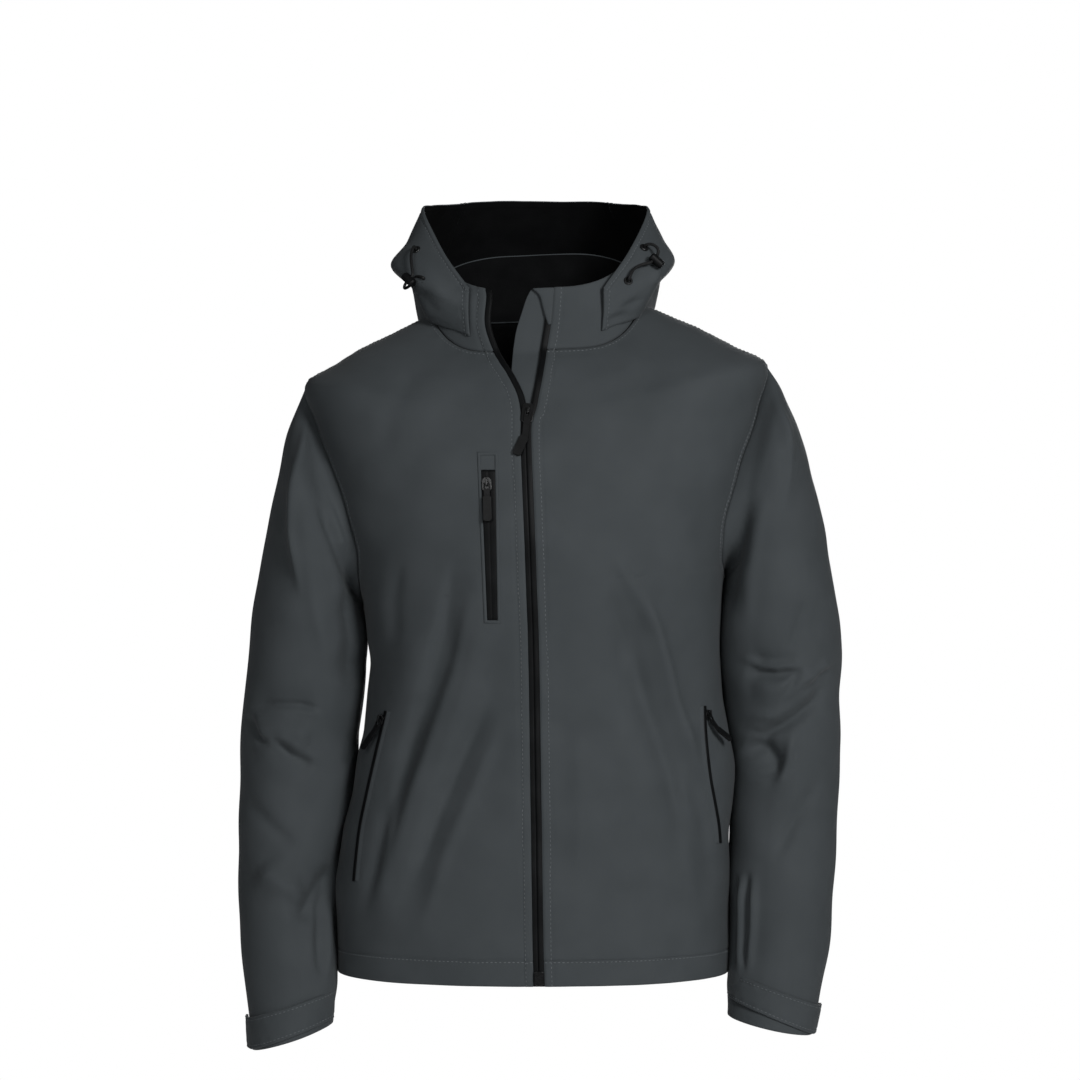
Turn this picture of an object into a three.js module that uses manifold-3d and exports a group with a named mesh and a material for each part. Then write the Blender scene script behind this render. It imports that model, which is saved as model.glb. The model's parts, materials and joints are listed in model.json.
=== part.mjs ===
// A men's softshell jacket as it is worn, in millimetres: the front zip is closed up to the chest, the stand collar
// is open above it and the hood lies back over the shoulders. The wearer faces -Y, +X is the wearer's left and +Z is
// up. The origin is the middle of the neck, level with the inner ends of the shoulder seams.
import * as THREE from "three";
import { mergeVertices } from "three/addons/utils/BufferGeometryUtils.js";
import Module from "manifold-3d";

// Cloth and seams
const CLOTH = 1.8; // wall of the bonded softshell cloth
const COLLAR_WALL = 2.2; // two layers of cloth, pressed
const TRIM_WALL = 1.2; // tapes, straps and welts
const SEAM_GAP = 0.3; // between two pieces at a seam, and under a piece that lies on another
const RIGHT = -1; // the wearer's right, on -X
const LEFT = 1;

// Body heights, measured up from the hem at the side seams
const HEM_Z = -668;
const SHOULDER_HEIGHT = 594; // outer end of the shoulder seam
const NECK_HEIGHT = 659; // inner end of the shoulder seam, on the neck seam
const ARMPIT_HEIGHT = { [RIGHT]: 376, [LEFT]: 396 };
const SHOULDER_TILT = 0.04; // the left shoulder is carried higher than the right
const TILT_FROM = 330;
const COLLAR_HEIGHT = 62;

// How far the armhole seam curves in from the side, in radians round the body, on the front and the back
const ARMHOLE_BULGE = { front: 0.25, back: 0.22 };
const ARMHOLE_LOW_BULGE = 0.6; // how much more of that bulge is near the armpit

// Folds and trims are laid out on an elevation: the front seen from here, as lines of sight meet the plane y = 0
const SIGHT = { x: 4, distance: 3200, z: -240 };

// Rows of a table under named columns
const table = (columns, rows) =>
  rows.map((row) => Object.fromEntries(columns.map((name, i) => [name, row[i]])));

// Level rings round the body. right, left, front and back are half sizes; the drops say how far the middle of the
// front and back lie below the sides; square is the ring's squareness and sweep how flat the front stays
const BODY = table(
  ["height", "right", "left", "front", "back", "frontDrop", "backDrop", "square", "sweep"],
  [
    [0, 196, 190, 132, 124, 0, 0, 2.35, 4],
    [40, 196, 190, 131, 122, 0, 0, 2.35, 4],
    [80, 197, 190, 129, 120, 0, 0, 2.35, 4],
    [110, 194, 190, 127, 117, 0, 0, 2.35, 4],
    [140, 189, 190, 125, 114, 0, 0, 2.35, 4],
    [170, 181, 193, 123, 111, 0, 0, 2.35, 4],
    [205, 177, 195, 122, 108, 0, 0, 2.35, 4],
    [240, 172, 189, 122, 106, 0, 0, 2.35, 4],
    [270, 168, 184, 123, 106, 0, 0, 2.35, 4],
    [315, 165, 180, 126, 110, 0, 0, 2.35, 4],
    [355, 168, 182, 130, 116, 1, 0, 2.35, 4],
    [385, 173, 184, 133, 122, 2, 1, 2.35, 4],
    [440, 189, 194, 135, 130, 8, 2, 2.35, 4],
    [500, 206, 211, 130, 130, 20, 6, 2.4, 4],
    [550, 219, 223, 121, 124, 33, 10, 2.45, 4],
    [594, 228, 229, 110, 114, 44, 12, 2.5, 4],
    [614, 195, 197, 104, 108, 48, 14, 2.5, 5],
    [635, 156, 158, 96, 99, 51, 12, 2.5, 6],
    [651, 119, 124, 84, 86, 49, 9, 2.45, 7],
    [659, 104, 104, 74, 76, 45, 6, 2.4, 8],
  ],
);

// The collar's upper edge, as such a ring: top is the height of its sides above the origin
const COLLAR_TOP = { right: 90, left: 90, front: 63, back: 60, square: 2.4, sweep: 6, top: 34 };
const COLLAR_TOP_DROP = { front: 27, back: -16 };

// The two edges of the centre front opening, over which the zip's tapes lie. rise runs up the body and on up the
// collar
const FRONT_EDGE = table(
  ["rise", "right", "left"],
  [
    [0, -2.3, 8.7],
    [38, -3.4, 7.6],
    [320, -7.5, 3.5],
    [394, -10.1, 0.9],
    [476, -12.6, -1.6],
    [550, -15, -4],
    [585, -14.9, -3.6],
    [600, -15.3, 0.5],
    [621, -19.2, 4],
    [641, -28, 7.5],
    [653, -37, 9.8],
    [659, -42, 11],
    [685, -50.5, 15],
    [714, -49.5, 17.6],
    [721, -50.9, 18],
  ],
);
const TAPE_WIDTH = 6.2; // of one tape beside its teeth, where the zip is open

// Rings down each sleeve, from just below the armhole to the hem. out and in are the ring's outer and inner points
// in the elevation; y is its middle, front and back its half depths
const SLEEVE_COLUMNS = ["along", "outX", "outZ", "inX", "inZ", "y", "front", "back"];
const SLEEVE = {
  [RIGHT]: table(SLEEVE_COLUMNS, [
    [0.1, 250, -140, 176.5, -305, 2, 74, 76],
    [0.2, 264, -205, 171.5, -332, 4, 75, 77],
    [0.3, 277, -272, 169.5, -360, 6, 74, 76],
    [0.4, 287, -342, 173, -396, 8, 71, 72],
    [0.5, 294, -415, 179, -440, 9, 67, 68],
    [0.6, 297, -485, 184.5, -492, 8, 63, 65],
    [0.7, 297, -550, 196.5, -548, 1, 59, 61],
    [0.8, 296, -606, 200, -600, -11, 55, 56],
    [0.9, 290, -664, 199.5, -652, -26, 50, 50],
    [1, 280, -741, 200, -716, -42, 45, 45],
  ]),
  [LEFT]: table(SLEEVE_COLUMNS, [
    [0.035, 247, -92, 188.5, -272.5, 1, 67, 69],
    [0.1, 266, -140, 190, -284, 2, 74, 76],
    [0.2, 283, -205, 185, -314, 4, 75, 77],
    [0.3, 296, -270, 184, -346, 6, 74, 76],
    [0.4, 305, -335, 187.5, -382, 8, 71, 72],
    [0.5, 305, -400, 192, -426, 9, 67, 68],
    [0.6, 304, -465, 198.5, -474, 8, 63, 65],
    [0.7, 301, -530, 196, -530, 1, 59, 61],
    [0.8, 296, -590, 195, -586, -11, 55, 56],
    [0.9, 289, -655, 194, -650, -26, 50, 50],
    [1, 272, -726, 189, -708, -42, 45, 45],
  ]),
};
const SLEEVE_EASE = 0.06; // share of the sleeve over which it takes up the armhole's shape

// The strap round each cuff, in shares down the sleeve, from its sewn end inside the wrist to its loose end
const CUFF_STRAP = {
  [RIGHT]: { topIn: 0.949, topOut: 0.962, bottomIn: 0.99, bottomOut: 0.999, from: 168, to: -16 },
  [LEFT]: { topIn: 0.926, topOut: 0.962, bottomIn: 0.968, bottomOut: 0.999, from: 168, to: -16 },
};
const STRAP_LIFT = 4; // how far the loose end stands off the sleeve
const STRAP_LIFT_SPAN = 26; // degrees over which it lifts

// The hood as lines from its neck seam out to its rim, at shares of the way from the middle back to a front corner.
// Each point has the distance sideways, the place from front to back, and the height
const HOOD_STATIONS = ["seam", "under", "bottom", "outer", "crown", "rim"];
const HOOD = table(
  ["round", ...HOOD_STATIONS],
  [
    [0, [0, 84, -14], [0, 125, -86], [0, 150, -166], [0, 180, -100], [0, 180, 20], [0, 122, 112]],
    [0.25, [50, 82, -12], [62, 123, -78], [66, 145, -152], [76, 172, -92], [78, 168, 18], [56, 110, 110]],
    [0.45, [88, 68, -5], [103, 106, -44], [112, 124, -88], [114, 138, -48], [122, 124, 30], [90, 74, 104]],
    [0.6, [104, 36, 0], [109, 50, 1], [111, 61, 3], [121, 67, 20], [130, 54, 50], [106, 40, 99]],
    [0.75, [108, 6, -2], [112, 8, 4], [121, 9, 14], [139, 8, 37], [126, 5, 62], [113, 4, 89]],
    [0.88, [106, -30, -20], [110, -35, -10], [116, -37, 6], [120, -36, 24], [108, -34, 38], [92, -36, 45]],
    [1, [66, -63.5, -37], [66.5, -62.5, -28], [67, -61.5, -18], [67, -60.5, -9], [67, -59.5, 0], [67, -58.5, 8]],
  ],
);
const HOOD_FULLNESS = 6; // how far the hood's right side swells beyond its left one
const HOOD_CORNER = 0.05; // share of the way round at the front corners that doesn't swell
const HOOD_SEAM = 0.36; // share of the way round at which a side is sewn to the centre strip

// Main folds: where each runs in its elevation, how deep (minus) or proud (plus) it is and how wide. The front
// elevation is the one above, the back one is plain x and z, and the sleeves' outer one is y and z
const FOLDS = table(
  ["piece", "view", "depth", "width", "path"],
  [
    ["body", "front", -8, 17, [[-76, -270], [-87, -356], [-105, -412], [-129, -473], [-145, -541], [-158, -600]]],
    ["body", "front", 6, 19, [[-60, -290], [-69, -360], [-93, -420], [-117, -481], [-137, -557], [-157, -650]]],
    ["body", "front", -4, 20, [[-45, -396], [-81, -477], [-113, -557], [-137, -625]]],
    ["body", "front", 4, 20, [[-121, -330], [-124, -365], [-121, -405]]],
    ["body", "front", -7, 22, [[84, -300], [96, -364], [120, -420], [144, -485], [160, -557]]],
    ["body", "front", 5, 14, [[104, -275], [121, -332], [134, -395], [154, -447], [166, -476]]],
    ["body", "front", 3, 22, [[-18, -330], [-14, -430], [-22, -540]]],
    ["body", "back", -7, 20, [[-120, -235], [-96, -320], [-60, -400], [-32, -452]]],
    ["body", "back", -7, 20, [[124, -225], [98, -312], [66, -392], [28, -458]]],
    ["body", "back", 5, 22, [[-86, -215], [-58, -300], [-30, -368]]],
    ["body", "back", 5, 22, [[92, -205], [64, -290], [38, -362]]],
    ["body", "back", -6, 20, [[-140, -470], [-70, -494], [0, -486], [62, -500], [136, -478]]],
    ["body", "back", 4, 24, [[-100, -540], [-20, -528], [80, -544]]],
    ["sleeve_right", "front", -6, 16, [[-288, -405], [-252, -408], [-218, -408]]],
    ["sleeve_right", "front", 6, 20, [[-285, -435], [-255, -432], [-225, -442]]],
    ["sleeve_right", "front", -5, 14, [[-259, -440], [-244, -455], [-222, -468]]],
    ["sleeve_right", "front", -6, 17, [[-204, -568], [-222, -592], [-240, -622]]],
    ["sleeve_right", "front", 5, 20, [[-276, -568], [-254, -590], [-232, -585]]],
    ["sleeve_left", "front", 5, 13, [[237, -92], [249, -135], [251, -160], [246, -210]]],
    ["sleeve_left", "front", -6, 14, [[210, -365], [234, -369], [262, -367]]],
    ["sleeve_left", "front", 6, 15, [[215, -390], [250, -385], [285, -372]]],
    ["sleeve_left", "front", -6, 14, [[293, -366], [270, -398], [246, -424], [222, -434]]],
    ["sleeve_left", "front", -7, 18, [[214, -440], [230, -455], [232, -480]]],
    ["sleeve_left", "front", -4, 20, [[300, -470], [262, -510], [232, -560]]],
    ["sleeve_right", "back", -6, 17, [[-285, -400], [-240, -382], [-200, -392]]],
    ["sleeve_left", "back", -6, 17, [[292, -392], [250, -376], [208, -388]]],
    ["sleeve_right", "back", 5, 20, [[-288, -440], [-245, -425], [-205, -436]]],
    ["sleeve_left", "back", 5, 20, [[296, -432], [252, -418], [212, -428]]],
  ],
);

// Chest pocket on the right front, as corners in the elevation
const CHEST_WELT = { top: [[-59, -152], [-38, -152]], bottom: [[-52, -323.5], [-35, -323.5]] };
const CHEST_BORDER = 3.4; // width of the welt round the zip
const CHEST_SLIDER_AT = [-49, -184];

// Hand pockets: the zip's line in the elevation, from the top, and how its pull hangs
const HAND_POCKET = {
  [RIGHT]: {
    line: [[-150.5, -411], [-155, -430], [-163, -464], [-170, -495], [-177, -530], [-181, -565], [-182.4, -581]],
    lean: -16,
    lift: 8,
    turn: -6,
  },
  [LEFT]: {
    line: [[169, -406], [169.5, -426], [171.5, -451], [175, -479], [179.5, -504], [183, -525], [184.5, -543]],
    lean: 24,
    lift: 20,
    turn: 26,
  },
};
const POCKET_ZIP_WIDTH = 3;
const POCKET_LIP_WIDTH = 5;

// Zip hardware. Each slider stands on its tape with x across, y out of the cloth and z down the zip
const SLIDER = { plate: 1.6 };
const BRIDGE = { width: 1.8, above: 4.5, below: 2.6, height: 3.9, wall: 1.2 };
const FORK = { gap: 3.6, bar: 1.4, reach: 5.4, end: 1.6 }; // the pull's loop round the bridge
const PIN_HEIGHT = 3.25; // of the pull's turning line over the tape
const GRIP_THICK = 2.4;
const GRIP_LAP = 2; // how far the grip is moulded over the link
const MAIN_PULL = { link: 27, linkWidth: 5.8, grip: 21, gripWidth: 8.6, turn: -18 };
const CHEST_PULL = { link: 14, linkWidth: 5.8, grip: 25, gripWidth: 8.2, turn: 0 };
const POCKET_PULL = { link: 18, linkWidth: 5.8, grip: 20, gripWidth: 6 };
const MAIN_SLIDER = { width: 11.5, length: 20, up: 9 };
const CHEST_SLIDER = { width: 9.2, length: 14, up: 6 };
const POCKET_SLIDER = { width: 6.4, length: 11, up: 5 };
const MAIN_SLIDER_RISE = 596;
const ZIP_BOX = { width: 9, height: 13, thick: 2 };

// Flap behind the zip: its free edge at rises up the front, and the line on which it is sewn
const STORM_FLAP = table(
  ["rise", "free"],
  [
    [14, -20],
    [640, -24],
    [650, -23.5],
    [659, -22.5],
    [680, -19],
    [700, -13],
    [712, -9],
    [720, -5],
  ],
);
const FLAP_STRAIGHT = 640;
const FLAP_SEWN_X = 26;
const FLAP_DEPTH = 4.4; // of its inner face under the front's outer one

// Guard folded over the zip's top end: its free edge at rises up the collar
const CHIN_GUARD = table(
  ["rise", "free"],
  [
    [684, 12],
    [692, 9.5],
    [704, 6.5],
    [714, 3.5],
    [720.5, -3],
  ],
);
const GUARD_WALL = 1.4;
const STRAP_WALL = 2;
const STRAP_REST = 0.6; // of the strap over the sleeve
const TAPE_SINK = 0.5; // of the front zip's tapes under the cloth's face
const TAPE_LAID = 0.8; // wall of a pocket zip laid on the cloth
const LAID_REST = 0.7; // of what is laid on a front over its cloth

// Hood drawcords on each side. An eyelet stands at a point of the hood and faces a way; the cord runs out of one,
// through the lock's bore and into the other. lock is the place on the route of the bore's middle
const CORD_RADIUS = 1.5;
const EYELET = { bore: 2, outer: 4.6, height: 1.5, round: 0.7 };
const CORD_LOCK = { length: 15.5, radius: 4.5, round: 1.4, bore: 2 };
const DRAWCORD = {
  [RIGHT]: {
    eyelets: [
      { at: [-118.7, -19.4, 48.2], facing: [-0.42, -0.66, 0.62] },
      { at: [-109.6, -43.9, 16], facing: [-0.29, -0.84, 0.46] },
    ],
    route: [
      [-118.9, -19.8, 48.6],
      [-120.8, -22.7, 51.3],
      [-123.5, -33.5, 42],
      [-122.5, -43, 30],
      [-121.6, -47.1, 21.1],
      [-125.3, -46.2, 16.5],
      [-129, -45.3, 11.9],
      [-129.6, -41.7, 8.5],
      [-125.7, -39, 10.4],
      [-122, -39.8, 15],
      [-118.5, -41.2, 19.7],
      [-111.1, -48.1, 18.3],
      [-109.8, -44.4, 16.3],
    ],
    lock: 5,
    barrel: [0.638, -0.47, -0.609],
    barrelShift: 0,
  },
  [LEFT]: {
    eyelets: [
      { at: [107.1, -27.9, 49.6], facing: [0.4, -0.66, 0.64] },
      { at: [90.7, -49, 15], facing: [0.18, -0.93, 0.33] },
    ],
    route: [
      [107, -27.8, 49.4],
      [108.8, -30.7, 52.2],
      [115, -33.5, 52.5],
      [120.5, -36, 48],
      [120.1, -38, 41.6],
      [116.6, -41, 37.8],
      [113.1, -44, 34],
      [106, -45.5, 32],
      [98.5, -48, 28.5],
      [95, -51, 24.5],
      [91.6, -53.7, 16.7],
      [90.8, -49.6, 15.2],
    ],
    lock: 5,
    barrel: [0.738, -0.023, -0.674],
    barrelShift: 3.5,
  },
};

// Mesh steps
const STEPS = {
  sideSeam: 12,
  armhole: 8,
  shoulder: 4,
  front: 9,
  back: 16,
  sleeve: 22,
  collar: 3,
  hood: 11,
  flap: 14,
  welt: 12,
  pocket: 26,
  cord: 26,
  cordSides: 8,
  turned: 12,
};
const SHARPEST_MITRE = 0.42; // least cosine of half the angle between two walls that meet
const CHORD_SLACK = 0.14; // added to half a seam gap, for the flats of the mesh
const BODY_GUESS = 0.97; // share of x in the elevation from which a point's turn round the body is sought

const CLOTH_LOOK = { color: 0x484c4f, roughness: 0.85, metalness: 0 };
const BLACK_LOOK = { color: 0x17191a, roughness: 0.6, metalness: 0 };
const METAL_LOOK = { color: 0x1b1c1d, roughness: 0.35, metalness: 0.8 };

const vec = (x, y, z) => new THREE.Vector3(x, y, z);
const mix = (a, b, t) => a + (b - a) * t;
const clamp = THREE.MathUtils.clamp;
const radians = THREE.MathUtils.degToRad;
const smooth = THREE.MathUtils.smoothstep;
const steps = (from, to, count) => Array.from({ length: count + 1 }, (_, i) => mix(from, to, i / count));
const sideName = (side) => (side === RIGHT ? "right" : "left");

// Smooth curve through values at rising keys
function curve(keys, values, at) {
  const last = keys.length - 1;
  const x = clamp(at, keys[0], keys[last]);
  let i = 0;
  while (i < last - 1 && x > keys[i + 1]) i++;
  const span = keys[i + 1] - keys[i];
  const f = (x - keys[i]) / span;
  const slope = (k) => {
    const a = Math.max(k - 1, 0);
    const b = Math.min(k + 1, last);
    return ((values[b] - values[a]) / (keys[b] - keys[a])) * span;
  };
  const f2 = f * f;
  const f3 = f2 * f;
  return (
    (2 * f3 - 3 * f2 + 1) * values[i] +
    (f3 - 2 * f2 + f) * slope(i) +
    (3 * f2 - 2 * f3) * values[i + 1] +
    (f3 - f2) * slope(i + 1)
  );
}

// One named column of a table as a smooth function of its key column
function column(rows, key, name) {
  const keys = rows.map((row) => row[key]);
  const values = rows.map((row) => row[name]);
  return (at) => curve(keys, values, at);
}

const bodyColumn = Object.fromEntries(
  Object.keys(BODY[0]).map((name) => [name, column(BODY, "height", name)]),
);

// Distance from the axis of a ring whose quarters have their own half sizes
function ringRadius(ring, u) {
  const across = Math.abs(Math.sin(u)) / (Math.sin(u) < 0 ? ring.right : ring.left);
  const deep = Math.abs(Math.cos(u)) / (Math.cos(u) > 0 ? ring.front : ring.back);
  return Math.pow(Math.pow(across, ring.square) + Math.pow(deep, ring.square), -1 / ring.square);
}

// The body's ring at a height: u is 0 at the middle front and a quarter turn at the wearer's left side
const rings = new Map();
function bodyRing(height) {
  if (!rings.has(height)) {
    const ring = Object.fromEntries(Object.entries(bodyColumn).map(([name, at]) => [name, at(height)]));
    rings.set(height, ring);
  }
  return rings.get(height);
}

function bodyBase(u, height) {
  const ring = bodyRing(height);
  const r = ringRadius(ring, u);
  const x = r * Math.sin(u);
  const drop = Math.cos(u) > 0 ? ring.frontDrop : ring.backDrop;
  const fall = drop * (1 - Math.pow(Math.abs(Math.sin(u)), ring.sweep));
  const tilt = SHOULDER_TILT * smooth(height, TILT_FROM, SHOULDER_HEIGHT) * x;
  return vec(x, -r * Math.cos(u), height + HEM_Z - fall + tilt);
}

function collarBase(u, rise) {
  const foot = bodyBase(u, NECK_HEIGHT);
  const r = ringRadius(COLLAR_TOP, u);
  const x = r * Math.sin(u);
  const drop = Math.cos(u) > 0 ? COLLAR_TOP_DROP.front : COLLAR_TOP_DROP.back;
  const fall = drop * (1 - Math.pow(Math.abs(Math.sin(u)), COLLAR_TOP.sweep));
  const head = vec(x, -r * Math.cos(u), COLLAR_TOP.top - fall + SHOULDER_TILT * x);
  return foot.lerp(head, rise);
}

// Outward unit normal of a surface point(a, b), from nearby points inside its range of b
function normalOf(point, a, b, stepA, stepB, low, high, side) {
  const alongA = point(a + stepA, b).sub(point(a - stepA, b));
  const alongB = point(a, Math.min(b + stepB, high)).sub(point(a, Math.max(b - stepB, low)));
  return alongA.cross(alongB).multiplyScalar(side).normalize();
}

// Where a point lies in an elevation
function elevation(point, view) {
  if (view === "back") return [point.x, point.z];
  const scale = SIGHT.distance / (SIGHT.distance + point.y);
  return [mix(SIGHT.x, point.x, scale), mix(SIGHT.z, point.z, scale)];
}

// Distance from (x, z) to a path, and how far along the path its nearest point is, from 0 to 1
function nearest(path, x, z) {
  let best = Infinity;
  let gone = 0;
  let foot = 0;
  path.slice(1).forEach(([bx, bz], i) => {
    const [ax, az] = path[i];
    const length = Math.hypot(bx - ax, bz - az);
    const f = clamp(((x - ax) * (bx - ax) + (z - az) * (bz - az)) / (length * length), 0, 1);
    const away = Math.hypot(x - mix(ax, bx, f), z - mix(az, bz, f));
    if (away < best) {
      best = away;
      foot = gone + f * length;
    }
    gone += length;
  });
  return [best, foot / gone];
}

// Height of the folds at a point of a piece
function relief(piece, point, normal) {
  let height = 0;
  for (const fold of FOLDS) {
    if (fold.piece !== piece) continue;
    const facing = smooth(fold.view === "front" ? -normal.y : normal.y, 0.05, 0.5);
    if (facing === 0) continue;
    const [x, z] = elevation(point, fold.view);
    const [away, at] = nearest(fold.path, x, z);
    if (away > 3 * fold.width) continue;
    const fade = smooth(at, -0.1, 0.25) * smooth(1 - at, -0.1, 0.25);
    height += fold.depth * fade * facing * Math.exp(-((away / fold.width) ** 2));
  }
  return height;
}

// A surface with its folds: point(a, b) and normal(a, b)
function folded(base, piece, step, low, high, side = 1, ease = () => 1) {
  const plain = (a, b) => normalOf(base, a, b, step.a, step.b, low, high, side);
  const point = (a, b) => {
    const p = base(a, b);
    const n = plain(a, b);
    return p.addScaledVector(n, relief(piece, p, n) * ease(b));
  };
  return { point, normal: (a, b) => normalOf(point, a, b, step.a, step.b, low, high, side) };
}

const bodySurface = folded(bodyBase, "body", { a: 0.004, b: 0.6 }, 0, NECK_HEIGHT);
const collarSurface = folded(collarBase, "collar", { a: 0.004, b: 0.02 }, 0, 1);

// The armhole seam: turn is 0 at the shoulder, half a turn at the armpit and passes the front first
function armhole(side, turn) {
  const low = ARMPIT_HEIGHT[side];
  const height = mix(low, SHOULDER_HEIGHT, (1 + Math.cos(turn)) / 2);
  const bulge = Math.sin(turn) > 0 ? ARMHOLE_BULGE.front : ARMHOLE_BULGE.back;
  const inward = bulge * Math.sin(turn) * (1 - ARMHOLE_LOW_BULGE * Math.cos(turn));
  return [side * (Math.PI / 2 - inward), height];
}

// A sleeve: turn goes round it from the outer side over the front, along goes from the armhole to the hem
function sleeveBase(side) {
  const rows = SLEEVE[side];
  const keys = [0, ...rows.map((row) => row.along)];
  const lines = new Map();
  const line = (turn) => {
    if (!lines.has(turn)) {
      const start = bodySurface.point(...armhole(side, turn));
      const points = rows.map((row) => {
        const half = Math.cos(turn) / 2;
        const deep = Math.sin(turn) > 0 ? -row.front : row.back;
        return vec(
          side * ((row.outX + row.inX) / 2 + half * (row.outX - row.inX)),
          row.y + deep * Math.abs(Math.sin(turn)),
          (row.outZ + row.inZ) / 2 + half * (row.outZ - row.inZ),
        );
      });
      lines.set(turn, [start, ...points]);
    }
    return lines.get(turn);
  };
  return (turn, along) => {
    const points = line(turn);
    const at = (axis) => curve(keys, points.map((p) => p[axis]), along);
    return vec(at("x"), at("y"), at("z"));
  };
}

const sleeveSurface = Object.fromEntries(
  [RIGHT, LEFT].map((side) => [
    side,
    folded(
      sleeveBase(side),
      "sleeve_" + sideName(side),
      { a: 0.01, b: 0.002 },
      0,
      1,
      side,
      (along) => smooth(along, 0, SLEEVE_EASE),
    ),
  ]),
);

// The hood: round runs from -1 at the right front corner over the back to 1, rise from the neck seam to the rim
function hoodBase(round, rise) {
  const rows = [...HOOD.slice(1).reverse().map((row) => [row, -1]), ...HOOD.map((row) => [row, 1])];
  const keys = rows.map(([row, side]) => side * row.round);
  const stations = steps(0, 1, HOOD_STATIONS.length - 1);
  const at = (axis) =>
    curve(
      keys,
      rows.map(([row, side]) => {
        const values = HOOD_STATIONS.map((name) => row[name][axis]);
        return (axis === 0 ? side : 1) * curve(stations, values, rise);
      }),
      round,
    );
  const point = vec(at(0), at(1), at(2));
  point.z += SHOULDER_TILT * point.x * (1 - rise);
  const swell = smooth(-round, 0.4, 0.75) * smooth(1 + round, 0, HOOD_CORNER);
  point.x -= HOOD_FULLNESS * swell * Math.exp(-(((rise - 0.6) / 0.13) ** 2));
  return point;
}
const hoodSurface = folded(hoodBase, "hood", { a: 0.004, b: 0.004 }, 0, 1, -1);

// Vector from the outer to the inner corner of a wall where two walls with these normals meet
function mitre(first, second, wall) {
  const sum = first.clone().add(second);
  const half = Math.max(sum.length() / 2, SHARPEST_MITRE);
  return sum.normalize().multiplyScalar(-wall / half);
}

// Moves the edge points of a grid of [outer, inner] pairs inwards, square to each edge, by half a seam gap
function shrink(rows, tube) {
  const last = [rows.length - 1, rows[0].length - 1];
  const moves = [];
  const wrap = (i) => (tube ? (i + last[1] + 1) % (last[1] + 1) : clamp(i, 0, last[1]));
  const at = (j, i) => rows[clamp(j, 0, last[0])][wrap(i)][0];
  rows.forEach((row, j) =>
    row.forEach((pair, i) => {
      const inward = (near, ahead, behind) => {
        const tangent = ahead.clone().sub(behind).normalize();
        const way = near.clone().sub(pair[0]);
        return way.addScaledVector(tangent, -way.dot(tangent)).normalize();
      };
      const move = vec(0, 0, 0);
      if (j === 0) move.add(inward(at(1, i), at(0, i + 1), at(0, i - 1)));
      if (j === last[0]) move.add(inward(at(j - 1, i), at(j, i + 1), at(j, i - 1)));
      if (!tube && i === 0) move.add(inward(at(j, 1), at(j + 1, 0), at(j - 1, 0)));
      if (!tube && i === last[1]) move.add(inward(at(j, i - 1), at(j + 1, i), at(j - 1, i)));
      moves.push([pair, move.multiplyScalar(SEAM_GAP / 2 + CHORD_SLACK)]);
    }),
  );
  moves.forEach(([pair, move]) => pair.forEach((p) => p.add(move)));
}

// A closed wall from a grid of [outer, inner] pairs. A tube's rows close on themselves
function wall(rows, tube = false) {
  shrink(rows, tube);
  const across = rows[0].length;
  const positions = rows.flat().flatMap(([outer]) => outer.toArray());
  positions.push(...rows.flat().flatMap(([, inner]) => inner.toArray()));
  const under = rows.length * across;
  const at = (j, i) => j * across + (i % across);
  const faces = [];
  const quad = (a, b, c, d) => faces.push(a, b, c, a, c, d);
  const columns = tube ? across : across - 1;
  for (let j = 0; j < rows.length - 1; j++)
    for (let i = 0; i < columns; i++) {
      quad(at(j, i), at(j, i + 1), at(j + 1, i + 1), at(j + 1, i));
      quad(under + at(j, i), under + at(j + 1, i), under + at(j + 1, i + 1), under + at(j, i + 1));
    }
  const rim = (a, b) => quad(b, a, under + a, under + b);
  for (let i = 0; i < columns; i++) {
    rim(at(0, i), at(0, i + 1));
    rim(at(rows.length - 1, i + 1), at(rows.length - 1, i));
  }
  if (!tube)
    for (let j = 0; j < rows.length - 1; j++) {
      rim(at(j + 1, 0), at(j, 0));
      rim(at(j, across - 1), at(j + 1, across - 1));
    }
  return facingOut(positions, faces);
}

// Geometry of a closed surface, turned round if its faces point in
function facingOut(positions, faces) {
  const corner = (i) => vec(...positions.slice(3 * i, 3 * i + 3));
  let volume = 0;
  for (let i = 0; i < faces.length; i += 3)
    volume += corner(faces[i]).dot(corner(faces[i + 1]).cross(corner(faces[i + 2])));
  if (volume < 0) faces.reverse();
  const geometry = new THREE.BufferGeometry();
  geometry.setAttribute("position", new THREE.Float32BufferAttribute(positions, 3));
  geometry.setIndex(faces);
  geometry.computeVertexNormals();
  return geometry;
}

// Outer and inner points of a wall that lies on a surface, its inner face lifted off it
function layer(surface, a, b, lift, thick) {
  const point = surface.point(a, b);
  const normal = surface.normal(a, b);
  return [point.clone().addScaledVector(normal, lift + thick), point.addScaledVector(normal, lift)];
}

// Turn round a ring at which x has a value, near the middle front
function turnAt(radius, x) {
  let u = 0;
  for (let i = 0; i < 12; i++) u = Math.asin(clamp(x / radius(u), -1, 1));
  return u;
}

const frontEdge = {
  [RIGHT]: column(FRONT_EDGE, "rise", "right"),
  [LEFT]: column(FRONT_EDGE, "rise", "left"),
};
const bodyTurn = (x, height) => turnAt((u) => ringRadius(bodyRing(height), u), x);
const collarRadius = (rise) => (u) => {
  const point = collarBase(u, rise);
  return Math.hypot(point.x, point.y);
};
const collarTurn = (x, rise) => turnAt(collarRadius(rise), x);

// The front strip of body and collar as one surface of x and rise
const pickStrip = (method) => (x, rise) => {
  if (rise <= NECK_HEIGHT) return bodySurface[method](bodyTurn(x, rise), rise);
  const share = (rise - NECK_HEIGHT) / COLLAR_HEIGHT;
  return collarSurface[method](collarTurn(x, share), share);
};
const stripSurface = { point: pickStrip("point"), normal: pickStrip("normal") };

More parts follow.
